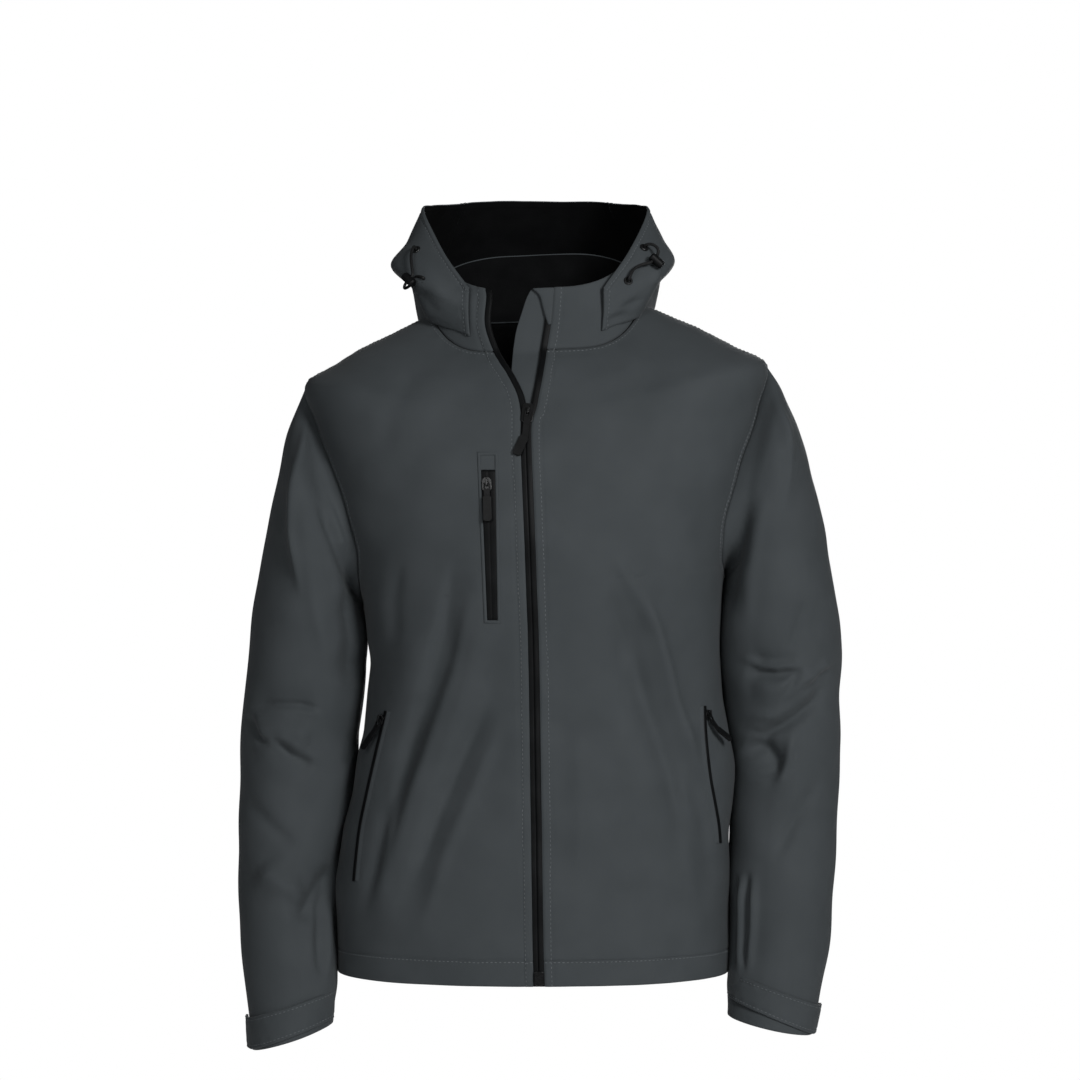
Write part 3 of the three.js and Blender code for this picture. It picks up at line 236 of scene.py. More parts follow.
# height, right, left, front, back, front drop, back drop, squareness, sweep
BODY_RINGS = np.array([
    (0, 196, 190, 132, 124, 0, 0, 2.35, 4),
    (40, 196, 190, 131, 122, 0, 0, 2.35, 4),
    (80, 197, 190, 129, 120, 0, 0, 2.35, 4),
    (110, 194, 190, 127, 117, 0, 0, 2.35, 4),
    (140, 189, 190, 125, 114, 0, 0, 2.35, 4),
    (170, 181, 193, 123, 111, 0, 0, 2.35, 4),
    (205, 177, 195, 122, 108, 0, 0, 2.35, 4),
    (240, 172, 189, 122, 106, 0, 0, 2.35, 4),
    (270, 168, 184, 123, 106, 0, 0, 2.35, 4),
    (315, 165, 180, 126, 110, 0, 0, 2.35, 4),
    (355, 168, 182, 130, 116, 1, 0, 2.35, 4),
    (385, 173, 184, 133, 122, 2, 1, 2.35, 4),
    (440, 189, 194, 135, 130, 8, 2, 2.35, 4),
    (500, 206, 211, 130, 130, 20, 6, 2.4, 4),
    (550, 219, 223, 121, 124, 33, 10, 2.45, 4),
    (594, 228, 229, 110, 114, 44, 12, 2.5, 4),
    (614, 195, 197, 104, 108, 48, 14, 2.5, 5),
    (635, 156, 158, 96, 99, 51, 12, 2.5, 6),
    (651, 119, 124, 84, 86, 49, 9, 2.45, 7),
    (659, 104, 104, 74, 76, 45, 6, 2.4, 8),
], float)
COLLAR_RING = np.array([(0, 90, 90, 63, 60, 27, -16, 2.4, 6)], float)
COLLAR_TOP = 34.0

# rise up the body and the collar, then x of the right and the left edge of the opening
FRONT_EDGE = np.array([
    (0, -2.3, 8.7), (38, -3.4, 7.6), (320, -7.5, 3.5), (394, -10.1, 0.9), (476, -12.6, -1.6), (550, -15, -4),
    (585, -14.9, -3.6), (600, -15.3, 0.5), (621, -19.2, 4), (641, -28, 7.5), (653, -37, 9.8), (659, -42, 11),
    (685, -50.5, 15), (714, -49.5, 17.6), (721, -50.9, 18),
], float)
TAPE_WIDTH = 6.2
TAPE_SINK = 0.5

# share down the sleeve, outer x and z, inner x and z, middle y, front and back half depths
SLEEVE_RINGS = {
    Side.RIGHT: np.array([
        (0.1, 250, -140, 176.5, -305, 2, 74, 76),
        (0.2, 264, -205, 171.5, -332, 4, 75, 77),
        (0.3, 277, -272, 169.5, -360, 6, 74, 76),
        (0.4, 287, -342, 173, -396, 8, 71, 72),
        (0.5, 294, -415, 179, -440, 9, 67, 68),
        (0.6, 297, -485, 184.5, -492, 8, 63, 65),
        (0.7, 297, -550, 196.5, -548, 1, 59, 61),
        (0.8, 296, -606, 200, -600, -11, 55, 56),
        (0.9, 290, -664, 199.5, -652, -26, 50, 50),
        (1, 280, -741, 200, -716, -42, 45, 45),
    ], float),
    Side.LEFT: np.array([
        (0.035, 247, -92, 188.5, -272.5, 1, 67, 69),
        (0.1, 266, -140, 190, -284, 2, 74, 76),
        (0.2, 283, -205, 185, -314, 4, 75, 77),
        (0.3, 296, -270, 184, -346, 6, 74, 76),
        (0.4, 305, -335, 187.5, -382, 8, 71, 72),
        (0.5, 305, -400, 192, -426, 9, 67, 68),
        (0.6, 304, -465, 198.5, -474, 8, 63, 65),
        (0.7, 301, -530, 196, -530, 1, 59, 61),
        (0.8, 296, -590, 195, -586, -11, 55, 56),
        (0.9, 289, -655, 194, -650, -26, 50, 50),
        (1, 272, -726, 189, -708, -42, 45, 45),
    ], float),
}
SLEEVE_EASE = 0.06

# share of the way round, then x, y, z at the seam, under, bottom, outer, crown and rim stations
HOOD_LINES = np.array([
    (0, 0, 84, -14, 0, 125, -86, 0, 150, -166, 0, 180, -100, 0, 180, 20, 0, 122, 112),
    (0.25, 50, 82, -12, 62, 123, -78, 66, 145, -152, 76, 172, -92, 78, 168, 18, 56, 110, 110),
    (0.45, 88, 68, -5, 103, 106, -44, 112, 124, -88, 114, 138, -48, 122, 124, 30, 90, 74, 104),
    (0.6, 104, 36, 0, 109, 50, 1, 111, 61, 3, 121, 67, 20, 130, 54, 50, 106, 40, 99),
    (0.75, 108, 6, -2, 112, 8, 4, 121, 9, 14, 139, 8, 37, 126, 5, 62, 113, 4, 89),
    (0.88, 106, -30, -20, 110, -35, -10, 116, -37, 6, 120, -36, 24, 108, -34, 38, 92, -36, 45),
    (1, 66, -63.5, -37, 66.5, -62.5, -28, 67, -61.5, -18, 67, -60.5, -9, 67, -59.5, 0, 67, -58.5, 8),
], float)
HOOD_FULLNESS = 6.0
HOOD_CORNER = 0.05
HOOD_SEAM = 0.36


@dataclass(frozen=True)
class Fold:
    """A fold of the cloth: a soft trough or ridge along a path of an elevation.

    Attributes:
        piece: form on which it lies.
        view: elevation of the path.
        depth: height of its middle, less than 0 for a trough.
        width: how far from the path it fades to about a third.
        lean: how much wider it is on its left side than on its right, going along the path.
        path: points (x, z) of the elevation.
    """

    piece: str
    view: View
    depth: float
    width: float
    lean: float
    path: tuple[Spot, ...]


def folds_of(table: dict[tuple[str, View], list[tuple[float, ...]]]) -> tuple[Fold, ...]:
    """Folds from a table.

    Args:
        table: rows by form and elevation, each with depth, width, lean, then x and z of each point in turn.

    Returns:
        The folds.
    """
    made = []
    for (piece, view), rows in table.items():
        for depth, width, lean, *numbers in rows:
            made.append(Fold(piece, view, depth, width, lean, tuple(zip(numbers[0::2], numbers[1::2]))))
    return tuple(made)


MAIN_FOLDS = folds_of({
    ("body", View.FRONT): [
        (-8, 17, 0, -76, -270, -87, -356, -105, -412, -129, -473, -145, -541, -158, -600),
        (6, 19, 0, -60, -290, -69, -360, -93, -420, -117, -481, -137, -557, -157, -650),
        (-4, 20, 0, -45, -396, -81, -477, -113, -557, -137, -625),
        (4, 20, 0, -121, -330, -124, -365, -121, -405),
        (-7, 22, 0, 84, -300, 96, -364, 120, -420, 144, -485, 160, -557),
        (5, 14, 0, 104, -275, 121, -332, 134, -395, 154, -447, 166, -476),
        (3, 22, 0, -18, -330, -14, -430, -22, -540),
    ],
    ("body", View.BACK): [
        (-7, 20, 0, -120, -235, -96, -320, -60, -400, -32, -452),
        (-7, 20, 0, 124, -225, 98, -312, 66, -392, 28, -458),
        (5, 22, 0, -86, -215, -58, -300, -30, -368),
        (5, 22, 0, 92, -205, 64, -290, 38, -362),
        (-6, 20, 0, -140, -470, -70, -494, 0, -486, 62, -500, 136, -478),
        (4, 24, 0, -100, -540, -20, -528, 80, -544),
    ],
    ("sleeve_right", View.FRONT): [
        (-6, 16, 0, -288, -405, -252, -408, -218, -408),
        (6, 20, 0, -285, -435, -255, -432, -225, -442),
        (-5, 14, 0, -259, -440, -244, -455, -222, -468),
        (-6, 17, 0, -204, -568, -222, -592, -240, -622),
        (5, 20, 0, -276, -568, -254, -590, -232, -585),
    ],
    ("sleeve_left", View.FRONT): [
        (5, 13, 0, 237, -92, 249, -135, 251, -160, 246, -210),
        (-6, 14, 0, 210, -365, 234, -369, 262, -367),
        (6, 15, 0, 215, -390, 250, -385, 285, -372),
        (-6, 14, 0, 293, -366, 270, -398, 246, -424, 222, -434),
        (-7, 18, 0, 214, -440, 230, -455, 232, -480),
        (-4, 20, 0, 300, -470, 262, -510, 232, -560),
    ],
    ("sleeve_right", View.BACK): [
        (-6, 17, 0, -285, -400, -240, -382, -200, -392),
        (5, 20, 0, -288, -440, -245, -425, -205, -436),
    ],
    ("sleeve_left", View.BACK): [
        (-6, 17, 0, 292, -392, 250, -376, 208, -388),
        (5, 20, 0, 296, -432, 252, -418, 212, -428),
    ],
})

# Smaller creases, which only this script adds
SMALL_CREASES = folds_of({
    ("sleeve_right", View.FRONT): [
        (5, 13, 0, -227, -112, -238, -183, -241, -231, -236, -290),
        (-5, 13, 0, -220, -150, -208, -190, -192, -240),
        (4.55, 4.92, 0, -226, -108, -237, -170, -241, -231, -236, -290),
        (-5.2, 5.74, 0, -222, -112, -208, -166, -193, -212, -184, -250),
        (-3.9, 4.92, 0, -216, -205, -200, -248, -184, -290),
        (3.9, 4.92, 0, -206, -200, -192, -238, -180, -270),
        (2.6, 8.2, 0, -236, -195, -226, -280, -209, -360),
        (-6.5, 9.02, 0, -190, -240, -178, -290, -173, -330),
        (-3.9, 4.1, 0, -292, -416, -282, -430, -271, -446),
        (-5.2, 8.2, 0, -202, -564, -216, -590, -233, -620),
        (3.9, 9.84, 0, -278, -566, -252, -586, -226, -602),
        (-3.12, 7.38, 0, -290, -500, -262, -530, -240, -548),
        (1.8, 2.4, 0, -228, -112, -239, -186, -240, -245, -236, -290),
        (-9, 9, 0, -184, -236, -178, -268, -170, -300, -168, -322),
        (-3.4, 2.6, 0, -284, -407, -268, -404, -240, -405, -216, -409),
        (2.6, 4, 0, -284, -413, -266, -410, -240, -411, -218, -415),
        (-3.2, 2.6, 0, -262, -438, -246, -454, -222, -467),
        (2.8, 4.5, 0, -256, -434, -240, -447, -218, -460),
        (-2.6, 3, 0, -286, -414, -279, -434, -264, -446),
        (-9, 13, 0, -186, -290, -182, -340, -184, -388),
        (-6.5, 5.5, 0, -204, -582, -213, -608, -216, -640, -216, -676),
        (3.2, 2.8, 0, -207, -604, -208, -636, -211, -676),
        (-10, 5, 0, -206, -706, -218, -709, -236, -714),
    ],
    ("body", View.FRONT): [
        (-4.05, 6.16, 0.4, -84, -266, -96, -330, -112, -392, -131, -445, -148, -520),
        (4.05, 7.04, 0, -68, -300, -83, -372, -105, -436, -129, -506, -151, -590),
        (-4.05, 7.92, 0, -45, -396, -72, -450, -98, -510, -128, -590),
        (2.97, 7.92, 0, -36, -420, -60, -480, -90, -550, -112, -620),
        (-2.7, 5.28, 0, -150, -505, -160, -560, -170, -612),
        (2.7, 6.16, 0, -140, -480, -148, -540, -154, -600),
        (-2.7, 7.04, 0, -136, -262, -142, -300, -140, -345),
        (4.32, 5.28, -0.4, 106, -285, 124, -338, 138, -398, 158, -452, 163, -476),
        (-4.05, 7.92, -0.3, 95, -330, 112, -400, 136, -470, 158, -550),
        (2.7, 6.16, 0, 80, -258, 100, -295, 120, -334),
        (-2.16, 7.04, 0, 74, -290, 84, -330, 92, -372),
        (-2.7, 6.16, 0, 158, -460, 168, -520, 174, -580),
        (2.43, 7.04, 0, 146, -470, 152, -530, 156, -600),
        (-2.03, 9.68, 0, 96, -62, 122, -92, 150, -118),
        (-1.76, 10.6, 0, -120, -70, -146, -112, -150, -150),
        (2.16, 10.6, 0, 40, -420, 46, -520, 40, -600),
        (-1.89, 11.4, 0, 78, -450, 88, -530, 90, -610),
    ],
    ("body", View.BACK): [
        (-3.24, 6.16, 0, -124, -240, -98, -322, -64, -398, -36, -448),
        (3.24, 7.04, 0, 96, -220, 70, -296, 44, -360),
        (-2.97, 6.16, 0, -150, -452, -84, -480, -14, -472),
        (2.7, 7.92, 0, 20, -470, 74, -484, 140, -462),
        (-2.7, 7.92, 0, 130, -540, 60, -556, -30, -548),
    ],
    ("sleeve_left", View.FRONT): [
        (5.2, 4.1, 0, 211, -359, 224, -366, 240, -367, 262, -364),
        (-5.2, 4.1, 0, 216, -374, 240, -376, 262, -373, 255, -385, 246, -397),
        (3.9, 4.1, 0, 296, -361, 282, -371, 268, -382),
        (-3.9, 4.1, 0, 298, -369, 284, -379, 270, -391),
        (-5.2, 4.92, 0, 290, -384, 280, -404, 263, -418, 250, -425, 226, -435, 212, -430),
        (3.9, 5.74, 0, 284, -374, 272, -394, 256, -407, 238, -417, 214, -416),
        (-6.5, 8.2, 0, 208, -444, 228, -450, 240, -462, 236, -478),
        (3.9, 4.92, 0, 256, -436, 252, -458, 242, -484),
        (-5.2, 2.62, 0, 203, -578, 201, -620, 201, -668),
        (3.9, 2.62, 0, 208, -580, 206, -620, 205, -668),
        (-5.2, 2.6, 0, 213, -574, 211, -620, 209, -668),
        (3.9, 3.28, 0, 219, -578, 217, -625, 214, -668),
        (3.9, 4.1, 0, 236, -92, 247, -130, 250, -158),
        (-3.38, 5.74, 0, 226, -110, 216, -160, 207, -215, 200, -262),
        (-6.5, 8.2, 0, 204, -200, 195, -250, 193, -300),
        (2.6, 6.56, 0, 226, -200, 216, -260, 212, -320),
        (-2.6, 5.74, 0, 270, -300, 262, -330, 252, -352),
        (-2.6, 6.56, 0, 288, -480, 262, -516, 240, -556),
        (1.6, 2.4, 0, 239, -92, 251, -155, 251, -200),
        (-10, 9, 0, 190, -208, 184, -240, 186, -275, 192, -305),
        (-14, 5.5, 0, 192, -693, 206, -697, 224, -703, 240, -708),
    ],
    ("sleeve_right", View.BACK): [
        (-3.9, 4.92, 0, -290, -392, -250, -386, -206, -396),
        (3.38, 5.74, 0, -292, -420, -250, -412, -206, -420),
    ],
    ("sleeve_left", View.BACK): [
        (-3.9, 4.92, 0, 296, -384, 254, -378, 212, -390),
        (3.38, 5.74, 0, 300, -414, 254, -406, 212, -416),
    ],
    ("hood", View.FRONT): [
        (-2.6, 4, 0, 88, -8, 97, -3, 105, 1),
        (-2.6, 4, 0, 72, -21, 82, -17, 92, -14),
        (2, 5, 0, 84, -30, 96, -22, 106, -14),
        (3, 4, 0, 120, 36, 123, 26, 122, 14),
        (-4, 5, 0, 128, 38, 130, 26, 126, 14),
        (-2.4, 6, 0, -100, -14, -110, 0, -120, 10),
        (2, 7, 0, -92, 4, -104, 18, -114, 30),
    ],
    ("collar", View.FRONT): [
        (1.6, 5, 0, -66, 8, -65, -12, -63, -34),
        (-1.6, 6, 0, -75, 8, -74, -12, -72, -34),
        (1.2, 6, 0, -85, 6, -84, -12, -82, -32),
        (-1.2, 6, 0, 52, 8, 54, -12, 56, -36),
    ],
})
FOLDS = MAIN_FOLDS + SMALL_CREASES

# Cloth standing out where an arm lies beside the body: form, side it faces, upper and lower end, height
FULLNESS = (
    ("body", -1, -262, -352, 3.0),
    ("body", -1, -442, -672, 2.9),
    ("body", 1, -268, -676, 3.1),
    ("sleeve_right", 1, -262, -352, 3.0),
    ("sleeve_right", 1, -442, -690, 2.9),
    ("sleeve_left", -1, -268, -690, 3.1),
)
FULLNESS_FADE = (-14, 14)
FULLNESS_FACING = (0.45, 0.92)

# How far a fold is worked out, in widths, how far cloth must face its elevation to show none and all of it,
# and shares of its path over which it fades at its ends
FOLD_REACH = 3.2
FACING = (0.05, 0.5)
FOLD_END = (-0.1, 0.25)

# Slow unevenness of the cloth: height, waves to a metre along x, y and z, and where the wave starts
RIPPLES = (
    (0.5, (7.1, 5.3, 8.9), 0.4),
    (0.42, (-11.3, 6.1, 7.7), 2.1),
    (0.3, (9.7, -8.3, 14.9), 4.4),
    (0.16, (23.0, 17.0, -19.0), 1.3),
)

# Distances of grid lines from an edge, close where the cloth turns or is sewn down
SEAM_MARKS = (0.0, 0.5, 1.1, 2.0, 3.4, 4.9, 5.8, 6.5, 7.2, 8.2, 10.0, 12.5)
ZIP_MARKS = (0.0, 0.5, 1.1, 2.2, 4.0, 5.8, 7.2, 8.0, 8.8, 10.0, 12.2)
HEM_MARKS = (0.0, 0.6, 1.4, 2.8, 5.6, 9.0, 12.5, 16.0, 19.4, 22.0, 23.3, 24.0, 24.7, 26.0, 28.5)
PITCH = 3.8


def smooth(x: Array | float, low: float, high: float) -> Array | float:
    """Smooth step from 0 at low to 1 at high."""
    t = np.clip((np.asarray(x, float) - low) / (high - low), 0, 1)
    return t * t * (3 - 2 * t)


def unit(vectors: Array) -> Array:
    """Vectors of length 1."""
    size = np.linalg.norm(vectors, axis=-1, keepdims=True)
    return vectors / np.maximum(size, 1e-12)


def curve(keys: Array, values: Array, at: Array, each: bool = False) -> Array:
    """Smooth curve through values at rising keys.

    Args:
        keys: n keys.
        values: values at the keys, on the first axis.
        at: where the curve is wanted.
        each: whether the second axis of values goes with the places in at.

    Returns:
        One row for each place.
    """
    keys, values = np.asarray(keys, float), np.asarray(values, float)
    last = len(keys) - 1
    at = np.clip(np.asarray(at, float), keys[0], keys[-1])
    i = np.clip(np.searchsorted(keys, at, side="left") - 1, 0, last - 1)
    before, after = np.maximum(np.arange(last + 1) - 1, 0), np.minimum(np.arange(last + 1) + 1, last)
    widen = (slice(None),) + (None,) * (values.ndim - 1)
    slope = (values[after] - values[before]) / (keys[after] - keys[before])[widen]
    span = keys[i + 1] - keys[i]
    f = (at - keys[i]) / span
    tail = (slice(None),) + (None,) * (values.ndim - (2 if each else 1))
    f2, f3 = f * f, f * f * f

    def pick(grid: Array, k: Array) -> Array:
        """Rows of a grid at keys, or of each place's own column."""
        return grid[k, np.arange(at.size)] if each else grid[k]

    return (
        (2 * f3 - 3 * f2 + 1)[tail] * pick(values, i)
        + ((f3 - 2 * f2 + f) * span)[tail] * pick(slope, i)
        + (3 * f2 - 2 * f3)[tail] * pick(values, i + 1)
        + ((f3 - f2) * span)[tail] * pick(slope, i + 1)
    )


def between(start: Array, end: Array, shares: Array) -> Array:
    """Grid whose rows run from one value to another, at shares of the way."""
    return start[:, None] + (end - start)[:, None] * shares[None]


def closed(row: Array) -> Array:
    """A row with its first place again at its end."""
    return np.concatenate([row, row[:1]])


def distances(line: Array) -> Array:
    """Distance along a line of each of its points."""
    return np.concatenate([[0.0], np.cumsum(np.linalg.norm(np.diff(line, axis=0), axis=1))])


def evenly(line: Array, step: float = 0.0, count: int = 0) -> tuple[Array, Array]:
    """Evenly spaced points along a line.

    Args:
        line: the line's points.
        step: distance between the new points, where their number isn't given.
        count: number of new points.

    Returns:
        The points, and the distance of each along the line.
    """
    gone = distances(line)
    places = np.linspace(0, gone[-1], count or max(int(gone[-1] / step), 2) + 1)
    return np.stack([np.interp(places, gone, line[:, k]) for k in range(3)], 1), places


def run(
    length: float, pitch: float, start: Sequence[float] = (0.0,), end: Sequence[float] = (0.0,)
) -> Array:
    """Distances from 0 to length: the given ones near each end and even steps between.

    Args:
        length: whole length.
        pitch: step between the given ones.
        start: distances from the start.
        end: distances from the end.

    Returns:
        The distances, rising.
    """
    tail = [length - d for d in reversed(end)]
    count = max(round((tail[0] - start[-1]) / pitch), 1)
    middle = np.linspace(start[-1], tail[0], count + 1)[1:-1]
    return np.array([*start, *middle, *tail])


def elevation(points: Array, view: View) -> Array:
    """Where points lie in an elevation.

    Args:
        points: the points.
        view: the elevation: from the camera's place at the front, or straight from behind.

    Returns:
        (x, z) of each point.
    """
    if view is View.BACK:
        return points[:, [0, 2]]
    scale = SIGHT_DISTANCE / (SIGHT_DISTANCE + points[:, 1])
    x = SIGHT_X + (points[:, 0] - SIGHT_X) * scale
    return np.stack([x, SIGHT_Z + (points[:, 2] - SIGHT_Z) * scale], 1)


def fold_height(fold: Fold, seen: Array) -> Array:
    """Height of one fold at places of its elevation.

    Args:
        fold: the fold.
        seen: (x, z) of each place.

    Returns:
        Height at each place, not yet faded by how the cloth faces.
    """
    path = np.array(fold.path, float)
    best = np.full(len(seen), np.inf)
    place = np.zeros(len(seen))
    hand = np.zeros(len(seen))
    gone = 0.0
    for a, b in zip(path[:-1], path[1:]):
        along = b - a
        length = np.hypot(*along)
        f = np.clip((seen - a) @ along / length**2, 0, 1)
        off = seen - a - f[:, None] * along
        away = np.hypot(off[:, 0], off[:, 1])
        nearer = away < best
        best = np.where(nearer, away, best)
        place = np.where(nearer, gone + f * length, place)
        side = np.sign(along[0] * (seen[:, 1] - a[1]) - along[1] * (seen[:, 0] - a[0]))
        hand = np.where(nearer, side, hand)
        gone += length
    place /= gone
    fade = smooth(place, *FOLD_END) * smooth(1 - place, *FOLD_END)
    width = fold.width * (1 + fold.lean * hand)
    return fold.depth * fade * np.exp(-((best / width) ** 2))


def relief(piece: str, points: Array, normals: Array) -> Array:
    """Height of the folds and of the slow unevenness at points of a piece.

    Args:
        piece: the form that the points are on.
        points: places on the plain form.
        normals: outward unit normals there.

    Returns:
        Height of the cloth over the plain form.
    """
    height = np.zeros(len(points))
    seen = {view: elevation(points, view) for view in View}
    for fold in FOLDS:
        if fold.piece != piece:
            continue
        facing = -normals[:, 1] if fold.view is View.FRONT else normals[:, 1]
        spots = seen[fold.view]
        reach = FOLD_REACH * fold.width
        path = np.array(fold.path, float)
        close = (spots > path.min(0) - reach).all(1) & (spots < path.max(0) + reach).all(1)
        close &= facing > FACING[0]
        if close.any():
            height[close] += fold_height(fold, spots[close]) * smooth(facing[close], *FACING)
    for name, side, top, bottom, lift in FULLNESS:
        if name == piece:
            z = points[:, 2]
            within = smooth(top - z, *FULLNESS_FADE) * smooth(z - bottom, *FULLNESS_FADE)
            height += lift * within * smooth(side * normals[:, 0], *FULLNESS_FACING)
    for size, waves, phase in RIPPLES:
        height += size * np.sin(points @ np.array(waves) * METRE * 2 * math.pi + phase)
    return height


class Form:
    """A smooth surface of two parameters with folds on it.

    Attributes:
        piece: name under which its folds are listed.
        step: small steps of the parameters, for normals.
        span: lowest and highest value of the second parameter.
        way: 1 or -1, to turn the normals out.
    """

    piece = ""
    step = (0.004, 0.004)
    span = (0.0, 1.0)
    way = 1

    def base(self, a: Array, b: Array) -> Array:
        """Points of the plain form."""
        raise NotImplementedError

    def ease(self, a: Array, b: Array) -> Array:
        """Share of the folds that shows at each place."""
        return np.ones_like(b)

    def _normal(self, at: Callable[[Array, Array], Array], a: Array, b: Array) -> Array:
        """Outward unit normals of a surface.

        Args:
            at: gives the surface's points.
            a: first parameter of each place.
            b: second parameter.

        Returns:
            The normals.
        """
        da, db = self.step
        low, high = self.span
        along_a = at(a + da, b) - at(a - da, b)
        along_b = at(a, np.minimum(b + db, high)) - at(a, np.maximum(b - db, low))
        return unit(np.cross(along_a, along_b) * self.way)

    def point(self, a: Array, b: Array) -> Array:
        """Points of the folded cloth's outer face."""
        a, b = np.broadcast_arrays(np.asarray(a, float), np.asarray(b, float))
        plain = self.base(a, b)
        normal = self._normal(self.base, a, b)
        return plain + normal * (relief(self.piece, plain, normal) * self.ease(a, b))[:, None]

    def normal(self, a: Array, b: Array) -> Array:
        """Outward unit normals of the folded cloth."""
        return self._normal(self.point, a, b)

    def grid(self, a: Array, b: Array, tube: bool = False) -> tuple[Array, Array]:
        """Points and outward normals on a grid of parameters, for a panel.

        Args:
            a: first parameter, on a grid of rows and columns.
            b: second parameter, on the same grid.
            tube: whether the rows close on themselves.

        Returns:
            Points and normals, each of the grid's shape with three numbers a place.
        """
        shape = (*a.shape, 3)
        points = self.point(a.ravel(), b.ravel()).reshape(shape)
        plain = self._normal(self.base, a.ravel(), b.ravel()).reshape(shape)
        return points, grid_normals(points, plain, tube)

    def face(self, a: Array, b: Array) -> tuple[Array, Array]:
        """Points and exact normals on a grid of parameters, for what lies on a panel."""
        return tuple(part(a.ravel(), b.ravel()).reshape(*a.shape, 3) for part in (self.point, self.normal))


def grid_normals(points: Array, near: Array, tube: bool = False) -> Array:
    """Normals of a grid of points, turned to the side of those given.

    Args:
        points: rows and columns of points.
        near: normals that say which side is out.
        tube: whether the rows close on themselves.

    Returns:
        Unit normals on the grid.
    """
    if tube:
        across = np.roll(points, -1, 1) - np.roll(points, 1, 1)
    else:
        across = np.gradient(points, axis=1)
    normal = unit(np.cross(across, np.gradient(points, axis=0)))
    turned = np.sign((normal * near).sum(-1, keepdims=True))
    return np.where(turned == 0, near, normal * turned)


def ring_radius(ring: Array, u: Array) -> Array:
    """Distance from the axis of rings whose quarters have their own half sizes, at turns u."""
    across = np.abs(np.sin(u)) / np.where(np.sin(u) < 0, ring[:, 1], ring[:, 2])
    deep = np.abs(np.cos(u)) / np.where(np.cos(u) > 0, ring[:, 3], ring[:, 4])
    square = ring[:, 7]
    return (across**square + deep**square) ** (-1 / square)


def ring_fall(ring: Array, u: Array) -> Array:
    """How far a ring's middle front or back lies below its sides, at turns u."""
    drop = np.where(np.cos(u) > 0, ring[:, 5], ring[:, 6])
    return drop * (1 - np.abs(np.sin(u)) ** ring[:, 8])


class BodyForm(Form):
    """The jacket's body: turn u from the middle front, height up from the hem."""

    piece = "body"
    step = (0.004, 0.6)
    span = (0.0, NECK_HEIGHT)

    def rings(self, height: Array) -> Array:
        """Rings at heights."""
        return curve(BODY_RINGS[:, 0], BODY_RINGS, height)

    def base(self, a: Array, b: Array) -> Array:
        """Points of the plain body."""
        ring = self.rings(b)
        r = ring_radius(ring, a)
        x = r * np.sin(a)
        tilt = SHOULDER_TILT * smooth(b, TILT_FROM, SHOULDER_HEIGHT) * x
        return np.stack([x, -r * np.cos(a), b + HEM_Z - ring_fall(ring, a) + tilt], 1)

    def ease(self, a: Array, b: Array) -> Array:
        """The folds end at the neck seam."""
        return smooth(NECK_HEIGHT - b, 0, 26)

    def turn(self, x: Array, height: Array) -> Array:
        """Turn near the middle front at which x has a value.

        Args:
            x: the value, for each place.
            height: up from the hem.

        Returns:
            The turns.
        """
        ring = self.rings(height)
        u = np.zeros_like(x)
        for _ in range(TURN_PASSES):
            u = np.arcsin(np.clip(x / ring_radius(ring, u), -1, 1))
        return u


BODY = BodyForm()


class CollarForm(Form):
    """The stand collar: turn u, and share of its height."""

    piece = "collar"
    step = (0.004, 0.02)

    def base(self, a: Array, b: Array) -> Array:
        """Points of the plain collar."""
        foot = BODY.base(a, np.full_like(a, NECK_HEIGHT))
        ring = np.repeat(COLLAR_RING, len(a), 0)
        r = ring_radius(ring, a)
        x = r * np.sin(a)
        head = np.stack([x, -r * np.cos(a), COLLAR_TOP - ring_fall(ring, a) + SHOULDER_TILT * x], 1)
        return foot + (head - foot) * b[:, None]

    def ease(self, a: Array, b: Array) -> Array:
        """The folds start above the neck seam."""
        return smooth(b, 0, 0.4)

    def turn(self, x: Array, share: Array) -> Array:
        """Turn near the middle front at which x has a value.

        Args:
            x: the value, for each place.
            share: of the collar's height.

        Returns:
            The turns.
        """
        u = np.zeros_like(x)
        for _ in range(TURN_PASSES):
            point = self.base(u, share)
            u = np.arcsin(np.clip(x / np.hypot(point[:, 0], point[:, 1]), -1, 1))
        return u


COLLAR = CollarForm()


def armhole(side: Side, turn: Array) -> tuple[Array, Array]:
    """The armhole seam on the body.

    Args:
        side: right or left.
        turn: 0 at the shoulder and half a turn at the armpit, the front first.

    Returns:
        Turn round the body and height of each place.
    """
    height = ARMPIT_HEIGHT[side] + (SHOULDER_HEIGHT - ARMPIT_HEIGHT[side]) * (1 + np.cos(turn)) / 2
    bulge = np.where(np.sin(turn) > 0, *ARMHOLE_BULGE)
    inward = bulge * np.sin(turn) * (1 - ARMHOLE_LOW_BULGE * np.cos(turn))
    return side.value * (math.pi / 2 - inward), height


